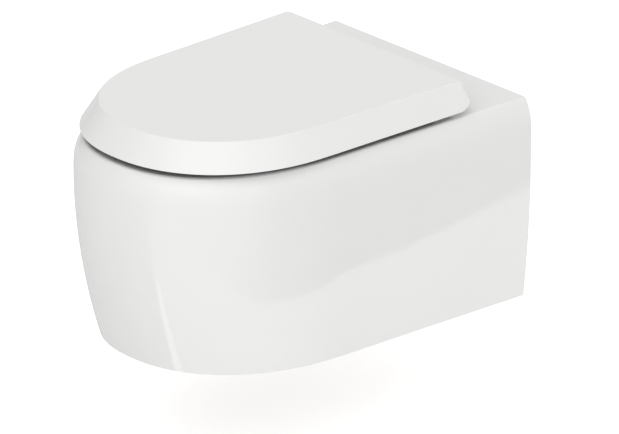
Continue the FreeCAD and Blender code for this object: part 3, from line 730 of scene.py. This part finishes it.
class Form:
    """A mesh that grows by lofts, and becomes one piece."""

    def __init__(self) -> None:
        """Starts empty."""
        self.mesh = bmesh.new()

    def loft(self, rings: Sequence[Sequence[Vector]], place: Matrix, closed: bool) -> None:
        """Adds a skin through rings of points.

        Args:
            rings: the rings, each with as many points.
            place: where the skin goes.
            closed: whether the last ring joins the first, as in an annular form. If not, both
                ends get a cap.
        """
        rows = [[self.mesh.verts.new(place @ point) for point in ring] for ring in rings]
        pairs = list(zip(rows, rows[1:]))
        if closed:
            pairs.append((rows[-1], rows[0]))
        for low, high in pairs:
            for here in range(len(low)):
                there = (here + 1) % len(low)
                self.mesh.faces.new((low[here], low[there], high[there], high[here]))
        if not closed:
            self.mesh.faces.new(list(reversed(rows[0])))
            self.mesh.faces.new(rows[-1])

    def turned(self, sections: Sequence[tuple[float, Radius]], place: Matrix,
               closed: bool = False, points: int = 32) -> None:
        """Adds a form of sections along an axis.

        Args:
            sections: height along the axis and radius over a turn, for each ring.
            place: where the form's origin and axis go.
            closed: whether it is annular.
            points: points in a ring.
        """
        turns = [FULL_TURN * step / points for step in range(points)]
        rings = [[Vector((radius(turn) * math.cos(turn), radius(turn) * math.sin(turn), height))
                  for turn in turns] for height, radius in sections]
        self.loft(rings, place, closed)

    def piece(self, name: str, material: bpy.types.Material, smooth_angle: float = 35.0
              ) -> bpy.types.Object:
        """Makes the piece.

        Args:
            name: the object's name.
            material: its material.
            smooth_angle: edges sharper than this many degrees stay hard.

        Returns:
            The object.
        """
        bmesh.ops.recalc_face_normals(self.mesh, faces=self.mesh.faces)
        for edge in self.mesh.edges:
            edge.smooth = edge.calc_face_angle(0.0) < math.radians(smooth_angle)
        for face in self.mesh.faces:
            face.smooth = True
        data = bpy.data.meshes.new(name)
        self.mesh.to_mesh(data)
        self.mesh.free()
        data.materials.append(material)
        made = bpy.data.objects.new(name, data)
        bpy.context.scene.collection.objects.link(made)
        return made


def solids_of(node: str, frame: dict) -> list[tuple[Vector, Vector]]:
    """Finds the separate solids of a node.

    Args:
        node: the node's name.
        frame: the loaded frame.

    Returns:
        The lowest and highest corner of each solid, from left to right.
    """
    mesh = bmesh.new()
    mesh.from_mesh(frame["nodes"][node].data)
    bmesh.ops.remove_doubles(mesh, verts=mesh.verts, dist=1e-6)
    left = set(mesh.verts)
    boxes = []
    while left:
        reached = [left.pop()]
        corners = []
        while reached:
            vertex = reached.pop()
            corners.append(vertex.co.copy())
            for edge in vertex.link_edges:
                other = edge.other_vert(vertex)
                if other in left:
                    left.remove(other)
                    reached.append(other)
        low = Vector([min(c[i] for c in corners) for i in range(3)])
        high = Vector([max(c[i] for c in corners) for i in range(3)])
        boxes.append((low, high))
    mesh.free()
    return sorted(boxes, key=lambda box: (round(box[0].x, 4), round(box[0].y, 4)))


def dress_node(node: bpy.types.Object, material: bpy.types.Material) -> None:
    """Gives a node its material.

    Args:
        node: the node's object.
        material: the material.
    """
    if not node.material_slots:
        node.data.materials.append(material)
    for slot in node.material_slots:
        slot.link = "OBJECT"
        slot.material = material


def install(piece: bpy.types.Object, body: str, node: str | None = None) -> None:
    """Puts a piece on its body.

    Args:
        piece: the object.
        body: the body that it moves with.
        node: the node that it stands for, if any.
    """
    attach(piece, body)
    if node:
        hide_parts(node)
    LOG.info("%s rides on %s", piece.name, body)


# Sub-assemblies


@dataclass
class Casting:
    """The ceramic: skirt, bowl, trap and flush channel."""

    frame: dict
    finishes: dict[str, bpy.types.Material]

    def dress(self) -> None:
        """Gives each casting its glaze or bare body."""
        coats = {"pan": "glaze_skirt", "deck": "glaze_deck", "rear_wall": "bare_casting",
                 "bowl": "glaze_bowl", "sump": "glaze_bowl", "trap": "glaze_trap",
                 "flush_channel": "bare_casting", "flush_guide": "guide_plastic"}
        for node, finish in coats.items():
            dress_node(self.frame["nodes"][node], self.finishes[finish])


@dataclass
class SeatAndLid:
    """The ring and the lid with their soft buffers."""

    frame: dict
    finishes: dict[str, bpy.types.Material]
    boss_radius: float = 7.5 * MM
    boss_clearance: float = 0.1 * MM
    boss_draft: float = 0.1 * MM
    boss_height: float = 1.6 * MM
    boss_fillet: float = 0.5 * MM

    def dress(self) -> None:
        """Gives ring and lid their plastic."""
        for node in ("lid", "seat_ring"):
            dress_node(self.frame["nodes"][node], self.finishes["seat_plastic"])

    def build(self) -> None:
        """Makes the buffers and the bosses that hold them."""
        self.seat_buffers()
        self.lid_buffers()
        self.lid_bosses()

    def seat_buffers(self) -> None:
        """Makes the oblong feet under the ring, waisted so that they can give."""
        form = Form()
        for low, high in solids_of("seat_buffers", self.frame):
            middle = (low + high) / 2
            half_width = (high.x - low.x) / 2
            run = (high.y - low.y) / 2 - half_width
            height = high.z - low.z
            levels = ((0.0, 0.78), (0.06, 0.9), (0.18, 0.99), (0.36, 1.0), (0.48, 0.93),
                      (0.62, 0.92), (0.74, 1.0), (1.0, 1.0))
            rings = [self.oblong(half_width * share, run, height * level)
                     for level, share in levels]
            form.loft(rings, Matrix.Translation((middle.x, middle.y, low.z)), closed=False)
        piece = form.piece("seat_feet", self.finishes["buffer_rubber"])
        install(piece, "seat", "seat_buffers")

    @staticmethod
    def oblong(radius: float, run: float, height: float) -> list[Vector]:
        """Makes a ring with two straight sides along Y.

        Args:
            radius: the radius of its ends.
            run: half the length of its sides.
            height: its height.

        Returns:
            The ring's points.
        """
        steps = 32
        ring = []
        for step in range(steps):
            turn = FULL_TURN * (step + 0.5) / steps
            shift = run if math.sin(turn) > 0 else -run
            ring.append(Vector((radius * math.cos(turn), radius * math.sin(turn) + shift, height)))
        return ring

    def lid_buffers(self) -> None:
        """Makes the round studs under the lid, domed where they meet the ring."""
        form = Form()
        for low, high in solids_of("lid_buffers", self.frame):
            middle = (low + high) / 2
            radius = (high.x - low.x) / 2
            height = high.z - low.z
            shares = ((0.0, 0.35), (0.03, 0.62), (0.10, 0.84), (0.22, 0.97), (0.34, 1.0),
                      (0.62, 1.0), (0.66, 0.9), (0.74, 0.9), (0.78, 1.0), (1.0, 1.0))
            sections = [(height * level, circle(radius * share)) for level, share in shares]
            form.turned(sections, Matrix.Translation((middle.x, middle.y, low.z)))
        piece = form.piece("lid_studs", self.finishes["buffer_rubber"])
        install(piece, "lid", "lid_buffers")

    def lid_bosses(self) -> None:
        """Makes the moulded collars that hold the studs in the lid."""
        form = Form()
        for low, high in solids_of("lid_buffers", self.frame):
            middle = (low + high) / 2
            inner = (high.x - low.x) / 2 + self.boss_clearance
            tip = high.z - self.boss_height
            sections = [
                (high.z, circle(self.boss_radius + self.boss_fillet)),
                (high.z - self.boss_fillet, circle(self.boss_radius)),
                (tip + self.boss_fillet, circle(self.boss_radius - self.boss_draft)),
                (tip, circle(self.boss_radius - self.boss_fillet)),
                (tip, circle(inner)),
                (high.z, circle(inner)),
            ]
            form.turned(sections, Matrix.Translation((middle.x, middle.y, 0.0)), closed=True)
        piece = form.piece("lid_stud_collars", self.finishes["seat_plastic"])
        install(piece, "lid")


@dataclass
class Screw:
    """A screw with a recessed head, a shank and a thread."""

    head_radius: float
    head_height: float
    shank_radius: float
    length: float
    pitch: float
    drive: Drive
    drive_size: float
    drive_depth: float
    plain: float = 0.0
    domed: bool = True

    def grow(self, form: Form, place: Matrix) -> None:
        """Adds the screw to a form, its head's outer face at the origin and its shank along +Z.

        Args:
            form: the form.
            place: where the screw goes.
        """
        recess = (cross(self.drive_size, 0.3 * self.drive_size) if self.drive is Drive.CROSS
                  else hexagon(self.drive_size))
        floor = circle(0.12 * self.drive_size)
        edge = 0.35 * self.head_height if self.domed else 0.1 * self.head_height
        sections = [
            (self.drive_depth, floor),
            (0.8 * self.drive_depth, smaller(recess, circle(0.4 * self.drive_size))),
            (0.02 * self.head_height, recess),
            (0.0, lambda turn: recess(turn) + 0.03 * self.drive_size),
            (0.0, circle(0.7 * self.head_radius)),
            (0.3 * edge, circle(0.9 * self.head_radius)),
            (edge, circle(self.head_radius)),
            (self.head_height, circle(self.head_radius)),
            (self.head_height, circle(self.shank_radius)),
        ]
        start = self.head_height + self.plain
        sections.append((start, circle(self.shank_radius)))
        depth = 0.55 * self.pitch
        steps = int((self.length - start) / self.pitch * THREAD_STEPS)
        for step in range(1, steps):
            height = start + (self.length - start) * step / steps
            taper = min(1.0, 2.0 * (steps - step) / THREAD_STEPS)
            phase = step / THREAD_STEPS
            root = self.shank_radius - depth * (1 - taper)
            sections.append((height, thread(root, depth * min(1.0, phase), phase)))
        sections.append((self.length, circle(self.shank_radius - depth)))
        form.turned(sections, place, points=32)


@dataclass
class Hinges:
    """Elbows on posts, pins, dampers, bushes, arms and all their screws."""

    frame: dict
    finishes: dict[str, bpy.types.Material]
    screw_pitch: float = 1.2 * MM
    bolt_pitch: float = 0.8 * MM
    bush_bore: float = 2.7 * MM
    bush_groove: float = 0.35 * MM
    bush_grooves: int = 5
    nut_bore: float = 2.6 * MM
    nut_chamfer: float = 0.5 * MM
    nut_ridge: float = 0.22 * MM
    nut_ridges: int = 24
    pin_chamfer: float = 0.6 * MM
    pin_groove: float = 0.4 * MM
    pin_groove_start: float = 2.2 * MM
    pin_groove_end: float = 3.2 * MM
    sleeve_bore: float = 3.05 * MM
    sleeve_rounding: float = 0.3 * MM
    collar_width: float = 2.0 * MM
    flute_run: float = 0.4 * MM
    flute_depth: float = 0.12 * MM
    flutes: int = 12

    def dress(self) -> None:
        """Gives the nodes that stay their finishes."""
        coats = {"hinge_elbow_left": "hinge_chrome", "hinge_elbow_right": "hinge_chrome",
                 "hinge_posts": "hinge_chrome", "seat_arms": "hinge_chrome",
                 "lid_arms": "hinge_chrome", "elbow_clips": "spring_steel",
                 "post_gaskets": "buffer_rubber"}
        for node, finish in coats.items():
            dress_node(self.frame["nodes"][node], self.finishes[finish])

    def build(self) -> None:
        """Makes the turned pieces."""
        self.arm_screws("seat_arm_screws", "seat")
        self.arm_screws("lid_arm_screws", "lid")
        self.bolts()
        self.bushes()
        self.nuts()
        self.pins()
        for node, body, slot in (("seat_damper", "seat", "damper_plastic"),
                                 ("lid_damper", "lid", "damper_plastic"),
                                 ("seat_hinge_bush", "seat", "bush_plastic"),
                                 ("lid_hinge_bush", "lid", "bush_plastic")):
            self.sleeve(node, body, slot)

    def arm_screws(self, node: str, body: str) -> None:
        """Makes the cross head screws of one pair of arms.

        Args:
            node: the screws' node.
            body: the body that they ride on.
        """
        form = Form()
        for low, high in solids_of(node, self.frame):
            middle = (low + high) / 2
            screw = Screw(head_radius=(high.x - low.x) / 2, head_height=2.0 * MM,
                          shank_radius=1.75 * MM, length=high.z - low.z,
                          pitch=self.screw_pitch, drive=Drive.CROSS, drive_size=3.9 * MM,
                          drive_depth=1.4 * MM, plain=2.0 * MM)
            screw.grow(form, Matrix.Translation((middle.x, middle.y, low.z)))
        piece = form.piece(node + "_turned", self.finishes["steel"])
        install(piece, body, node)

    def bolts(self) -> None:
        """Makes the hexagon socket bolts through the posts."""
        form = Form()
        for low, high in solids_of("hinge_bolts", self.frame):
            middle = (low + high) / 2
            screw = Screw(head_radius=(high.x - low.x) / 2, head_height=5.0 * MM,
                          shank_radius=2.5 * MM, length=high.z - low.z, pitch=self.bolt_pitch,
                          drive=Drive.HEXAGON, drive_size=4.0 * MM, drive_depth=2.5 * MM,
                          plain=16.0 * MM, domed=False)
            screw.grow(form, Matrix.Translation((middle.x, middle.y, high.z)) @ Axis.DOWN.value)
        piece = form.piece("hinge_bolts_turned", self.finishes["steel"])
        install(piece, "pan", "hinge_bolts")

    def bushes(self) -> None:
        """Makes the ribbed rubber bushes in the deck."""
        form = Form()
        for low, high in solids_of("anchor_bushes", self.frame):
            middle = (low + high) / 2
            radius = (high.x - low.x) / 2
            height = high.z - low.z
            steps = 36
            sections = [(0.0, circle(self.bush_bore))]
            for step in range(steps + 1):
                level = step / steps
                wave = 0.5 - 0.5 * math.cos(FULL_TURN * self.bush_grooves * level)
                sections.append((height * level, circle(radius - self.bush_groove * wave)))
            sections.append((height, circle(self.bush_bore)))
            form.turned(sections, Matrix.Translation((middle.x, middle.y, low.z)), closed=True)
        piece = form.piece("anchor_bushes_ribbed", self.finishes["anchor_rubber"], 60.0)
        install(piece, "pan", "anchor_bushes")

    def nuts(self) -> None:
        """Makes the knurled round nuts under the bushes."""
        form = Form()
        for low, high in solids_of("anchor_nuts", self.frame):
            middle = (low + high) / 2
            radius = (high.x - low.x) / 2
            height = high.z - low.z
            chamfer = self.nut_chamfer
            ridges = knurl(radius, self.nut_ridge, self.nut_ridges)
            sections = [
                (0.0, circle(self.nut_bore)), (0.0, circle(radius - chamfer)),
                (chamfer, ridges), (height - chamfer, ridges),
                (height, circle(radius - chamfer)), (height, circle(self.nut_bore)),
            ]
            form.turned(sections, Matrix.Translation((middle.x, middle.y, low.z)), closed=True,
                        points=96)
        piece = form.piece("anchor_nuts_knurled", self.finishes["steel"])
        install(piece, "pan", "anchor_nuts")

    def pins(self) -> None:
        """Makes the hinge pins with chamfered ends and a clip groove."""
        form = Form()
        for low, high in solids_of("hinge_pins", self.frame):
            middle = (low + high) / 2
            radius = (high.z - low.z) / 2
            length = high.x - low.x
            end, full = circle(radius - self.pin_chamfer), circle(radius)
            groove = circle(radius - self.pin_groove)
            sections = [
                (0.0, end), (self.pin_chamfer, full),
                (self.pin_groove_start, full), (self.pin_groove_start, groove),
                (self.pin_groove_end, groove), (self.pin_groove_end, full),
                (length - self.pin_chamfer, full), (length, end),
            ]
            place = Matrix.Translation((low.x, middle.y, middle.z)) @ Axis.RIGHT.value
            form.turned(sections, place)
        piece = form.piece("hinge_pins_turned", self.finishes["steel"])
        install(piece, "hinge_carrier", "hinge_pins")

    def sleeve(self, node: str, body: str, slot: str) -> None:
        """Makes a damper body or a bush, with a rounded end collar and flutes.

        Args:
            node: the node that it stands for.
            body: the body that it rides on.
            slot: its material slot.
        """
        low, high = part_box(node)
        middle = (low + high) / 2
        radius = (high.z - low.z) / 2
        length = high.x - low.x
        soft = self.sleeve_rounding
        end, full = circle(radius - soft), circle(radius)
        mouth, bore = circle(self.sleeve_bore + soft), circle(self.sleeve_bore)
        flute_start = self.collar_width + self.flute_run
        fluted = knurl(radius, self.flute_depth, self.flutes)
        sections = [
            (0.0, mouth), (0.0, end), (soft, full),
            (self.collar_width, full), (flute_start, fluted),
            (length - flute_start, fluted), (length - self.collar_width, full),
            (length - soft, full), (length, end),
            (length, mouth), (length - soft, bore), (soft, bore),
        ]
        form = Form()
        place = Matrix.Translation((low.x, middle.y, middle.z)) @ Axis.RIGHT.value
        form.turned(sections, place, closed=True, points=72)
        install(form.piece(node + "_fluted", self.finishes[slot]), body, node)


@dataclass
class WallFixings:
    """Sleeves, washers and nuts on the wall studs."""

    frame: dict
    finishes: dict[str, bpy.types.Material]
    bore: float = 6.5 * MM
    tube_radius: float = 9.7 * MM
    flange_thickness: float = 2.0 * MM
    flange_rounding: float = 0.4 * MM
    washer_rounding: float = 0.5 * MM
    nut_flats: float = 19.0 * MM
    nut_bore: float = 6.05 * MM
    nut_mouth: float = 0.6 * MM
    nut_chamfer: float = 1.1 * MM
    nut_pitch: float = 1.75 * MM
    nut_thread: float = 0.5 * MM

    def build(self) -> None:
        """Makes the three kinds of piece."""
        self.sleeves()
        self.washers()
        self.nuts()

    def sleeves(self) -> None:
        """Makes the plastic sleeves with their flanges."""
        form = Form()
        for low, high in solids_of("fixing_sleeves", self.frame):
            middle = (low + high) / 2
            flange = (high.x - low.x) / 2
            tube, soft = self.tube_radius, self.flange_rounding
            depth = high.y - low.y
            start = depth - self.flange_thickness
            sections = [
                (0.0, circle(self.bore)), (0.0, circle(tube - soft)), (soft, circle(tube)),
                (start - soft, circle(tube)), (start, circle(tube + soft)),
                (start, circle(flange - soft)), (start + soft, circle(flange)),
                (depth - soft, circle(flange)), (depth, circle(flange - soft)),
                (depth, circle(self.bore)),
            ]
            place = Matrix.Translation((middle.x, high.y, middle.z)) @ Axis.OUT_OF_WALL.value
            form.turned(sections, place, closed=True, points=48)
        piece = form.piece("fixing_sleeves_turned", self.finishes["bush_plastic"])
        install(piece, "pan", "fixing_sleeves")

    def washers(self) -> None:
        """Makes the stamped washers, rounded on the side of the punch."""
        form = Form()
        for low, high in solids_of("fixing_washers", self.frame):
            middle = (low + high) / 2
            radius = (high.x - low.x) / 2
            bore, soft = self.bore, self.washer_rounding
            depth = high.y - low.y
            sections = [
                (0.0, circle(bore)), (0.0, circle(radius)), (depth - soft, circle(radius)),
                (depth - 0.3 * soft, circle(radius - 0.3 * soft)), (depth, circle(radius - soft)),
                (depth, circle(bore + soft)), (depth - soft, circle(bore)),
            ]
            place = Matrix.Translation((middle.x, high.y, middle.z)) @ Axis.OUT_OF_WALL.value
            form.turned(sections, place, closed=True, points=64)
        piece = form.piece("fixing_washers_stamped", self.finishes["zinc_steel"])
        install(piece, "pan", "fixing_washers")

    def nuts(self) -> None:
        """Makes the chamfered hexagon nuts with their threads."""
        form = Form()
        body = hexagon(self.nut_flats)
        end = smaller(body, circle(0.5 * self.nut_flats))
        near_end = smaller(body, circle(0.54 * self.nut_flats))
        mouth = circle(self.nut_bore + self.nut_mouth)
        chamfer = self.nut_chamfer
        for low, high in solids_of("fixing_nuts", self.frame):
            middle = (low + high) / 2
            depth = high.y - low.y
            sections = [
                (0.0, mouth), (0.0, end), (0.45 * chamfer, near_end), (chamfer, body),
                (depth - chamfer, body), (depth - 0.45 * chamfer, near_end),
                (depth, end), (depth, mouth),
            ]
            steps = int(depth / self.nut_pitch * THREAD_STEPS)
            for step in range(1, steps):
                height = depth * (1 - step / steps)
                sections.append((height, thread(self.nut_bore + self.nut_thread,
                                                self.nut_thread, height / self.nut_pitch)))
            turn = Matrix.Rotation(math.pi / 6, 4, "Z")
            place = Matrix.Translation((middle.x, high.y, middle.z)) @ Axis.OUT_OF_WALL.value @ turn
            form.turned(sections, place, closed=True, points=72)
        piece = form.piece("fixing_nuts_threaded", self.finishes["zinc_steel"])
        install(piece, "pan", "fixing_nuts")


# Studio


@dataclass
class Studio:
    """The camera, the floor, the cards that only the glaze mirrors, and the surroundings that give
    the light.
    """

    azimuth: float = 47.93
    elevation: float = 22.21
    distance: float = 15.19
    lens: float = 721.0
    target: tuple[float, float, float] = (0.0, -0.2734, -0.0606)
    shift_right: float = 0.0549
    shift_up: float = 0.0031
    floor_height: float = -0.32
    floor_half: float = 30.0
    floor_glow: float = 0.55
    card_reach: float = 5.0
    sky: float = 0.69
    sky_slope: float = 0.2
    glow: float = 1.02
    glow_azimuth: float = 36.0
    glow_elevation: float = 34.0
    glow_reach: float = 42.0

    def build(self) -> None:
        """Makes everything round the object."""
        self.camera()
        self.surroundings()
        self.floor()
        self.cards()

    def camera(self) -> None:
        """Places the camera that matches the photograph's view."""
        turn, rise = math.radians(self.azimuth), math.radians(self.elevation)
        back = Vector((math.sin(turn) * math.cos(rise), -math.cos(turn) * math.cos(rise),
                       math.sin(rise)))
        right = Vector((math.cos(turn), math.sin(turn), 0.0))
        up = back.cross(right)
        data = bpy.data.cameras.new("photo_view")
        data.lens = self.lens
        data.sensor_width = 36.0
        data.clip_start, data.clip_end = 0.1, 100.0
        camera = bpy.data.objects.new("photo_view", data)
        centre = Vector(self.target) + right * self.shift_right + up * self.shift_up
        camera.location = centre + back * self.distance
        camera.rotation_mode = "QUATERNION"
        camera.rotation_quaternion = (-back).to_track_quat("-Z", "Y")
        bpy.context.scene.collection.objects.link(camera)
        bpy.context.scene.camera = camera

    def surroundings(self) -> None:
        """Makes the world: soft light with a glow ahead, and white where it is seen."""
        world = bpy.data.worlds.new("studio")
        world.use_nodes = True
        bpy.context.scene.world = world
        graph = Graph(world.node_tree)
        world.node_tree.nodes.clear()
        ray = graph.add("LightPath").outputs
        clear = graph.math("MAXIMUM", ray["Is Camera Ray"], ray["Is Transmission Ray"])
        shown = graph.math("MAXIMUM", clear, ray["Is Glossy Ray"])
        turn, rise = math.radians(self.glow_azimuth), math.radians(self.glow_elevation)
        ahead = (math.sin(turn) * math.cos(rise), -math.cos(turn) * math.cos(rise), math.sin(rise))
        direction = graph.add("TexCoord").outputs["Generated"]
        match = graph.add("VectorMath", {0: direction, 1: ahead}, operation="DOT_PRODUCT")
        edge = math.cos(math.radians(self.glow_reach))
        glow = graph.remap(match.outputs["Value"], edge, 1.0, 0.0, self.glow)
        hidden = graph.math("MULTIPLY", glow, graph.math("SUBTRACT", 1.0, clear))
        across = graph.add("SeparateXYZ", {0: direction}).outputs[0]
        soft = graph.math("MULTIPLY_ADD", across, self.sky * self.sky_slope, self.sky)
        level = graph.math("ADD", graph.mix_value(shown, soft, 1.0), hidden)
        light = graph.add("Background", {"Color": (1.0, 1.0, 1.0, 1.0), "Strength": level})
        output = graph.add("OutputWorld")
        world.node_tree.links.new(light.outputs[0], output.inputs[0])

    def floor(self) -> None:
        """Makes the pale floor, which shows white outside the object's shadow."""
        material, graph, shader = new_material("studio_floor")
        ray = graph.add("LightPath").outputs
        shown = graph.math("MAXIMUM", ray["Is Camera Ray"], ray["Is Glossy Ray"])
        shown = graph.math("MAXIMUM", shown, ray["Is Transmission Ray"])
        connect(graph, shader, Base_Color=(0.90, 0.90, 0.90, 1.0), Roughness=0.9,
                Specular_IOR_Level=0.0, Emission_Color=(1.0, 1.0, 1.0, 1.0),
                Emission_Strength=graph.math("MULTIPLY", shown, self.floor_glow))
        half = self.floor_half
        self.sheet("floor", self.level(-half, half, -half, half, self.floor_height), material)

    def cards(self) -> None:
        """Sets up the cards that only the glaze mirrors, which give the sides their soft steps."""
        low = self.floor_height + MM
        far = self.card_reach
        beside = ((0.45, -1.4), (0.51, -0.47), (0.555, -0.28), (0.555, 0.11), (1.76, 4.0),
                  (far, 4.0), (far, -1.4))
        ahead = ((-far, -far), (0.035, -far), (0.035, -0.45), (-0.15, -0.45), (-0.15, far),
                 (-far, far))
        dark = self.card_finish("dark_card", 0.2, fade=(-0.1, -0.9))
        grey = self.card_finish("grey_card", 0.72)
        white = self.card_finish("white_card", 2.2)
        cards = (
            self.sheet("dark_card_beside", [(x, y, low) for x, y in beside], dark),
            self.sheet("dark_card_standing", self.upright(far, -1.4, 9.0, low, 3.4), dark),
            self.sheet("grey_card_ahead", [(x, y, low) for x, y in ahead], grey),
            self.sheet("grey_card_standing", self.upright(-far, -9.0, 2.5, low, 5.0),
                       self.card_finish("deep_grey_card", 0.5)),
            self.sheet("white_strip", self.level(0.035, 0.065, -0.85, -0.45, low), white),
        )
        for card in cards:
            card.visible_camera = False
            card.visible_diffuse = False
            card.visible_transmission = False
            card.visible_shadow = False

    @staticmethod
    def card_finish(name: str, level: float, fade: tuple[float, float] | None = None
                    ) -> bpy.types.Material:
        """Makes a card's finish.

        Args:
            name: the material's name.
            level: how bright it shows.
            fade: the y from which it brightens, and the y where it is white, if it fades.

        Returns:
            The material.
        """
        material, graph, shader = new_material(name)
        shown: Value = level
        if fade:
            place = graph.add("SeparateXYZ", {0: graph.add("TexCoord").outputs["Object"]})
            shown = graph.remap(place.outputs[1], fade[0], fade[1], level, 1.0)
        connect(graph, shader, Base_Color=(0.0, 0.0, 0.0, 1.0), Specular_IOR_Level=0.0,
                Emission_Color=(1.0, 1.0, 1.0, 1.0), Emission_Strength=shown)
        return material

    @staticmethod
    def level(x0: float, x1: float, y0: float, y1: float, z: float) -> list[Vector]:
        """The corners of a level rectangle.

        Args:
            x0: its lowest x.
            x1: its highest x.
            y0: its lowest y.
            y1: its highest y.
            z: its height.

        Returns:
            Its corners in turn.
        """
        return [Vector((x, y, z)) for x, y in ((x0, y0), (x1, y0), (x1, y1), (x0, y1))]

    @staticmethod
    def upright(x: float, y0: float, y1: float, z0: float, z1: float) -> list[Vector]:
        """The corners of an upright rectangle that faces the object from one side.

        Args:
            x: its place.
            y0: its lowest y.
            y1: its highest y.
            z0: its foot.
            z1: its top.

        Returns:
            Its corners in turn.
        """
        return [Vector((x, y, z)) for y, z in ((y0, z0), (y1, z0), (y1, z1), (y0, z1))]

    @staticmethod
    def sheet(name: str, outline: Sequence, material: bpy.types.Material) -> bpy.types.Object:
        """Sets up a flat sheet.

        Args:
            name: its name.
            outline: its corners in turn.
            material: its material.

        Returns:
            The object.
        """
        form = Form()
        form.mesh.faces.new([form.mesh.verts.new(corner) for corner in outline])
        made = form.piece(name, material)
        return made


def main() -> None:
    """Dresses the toilet and sets up the studio."""
    logging.basicConfig(level=logging.INFO, format="%(name)s: %(message)s")
    for leftover in list(bpy.data.objects):
        bpy.data.objects.remove(leftover)
    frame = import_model()
    finishes = Finishes().build()
    Casting(frame, finishes).dress()
    seat = SeatAndLid(frame, finishes)
    seat.dress()
    seat.build()
    hinges = Hinges(frame, finishes)
    hinges.dress()
    hinges.build()
    WallFixings(frame, finishes).build()
    Studio().build()
    bpy.context.scene.view_settings.view_transform = "Standard"


if __name__ == "__main__":
    main()
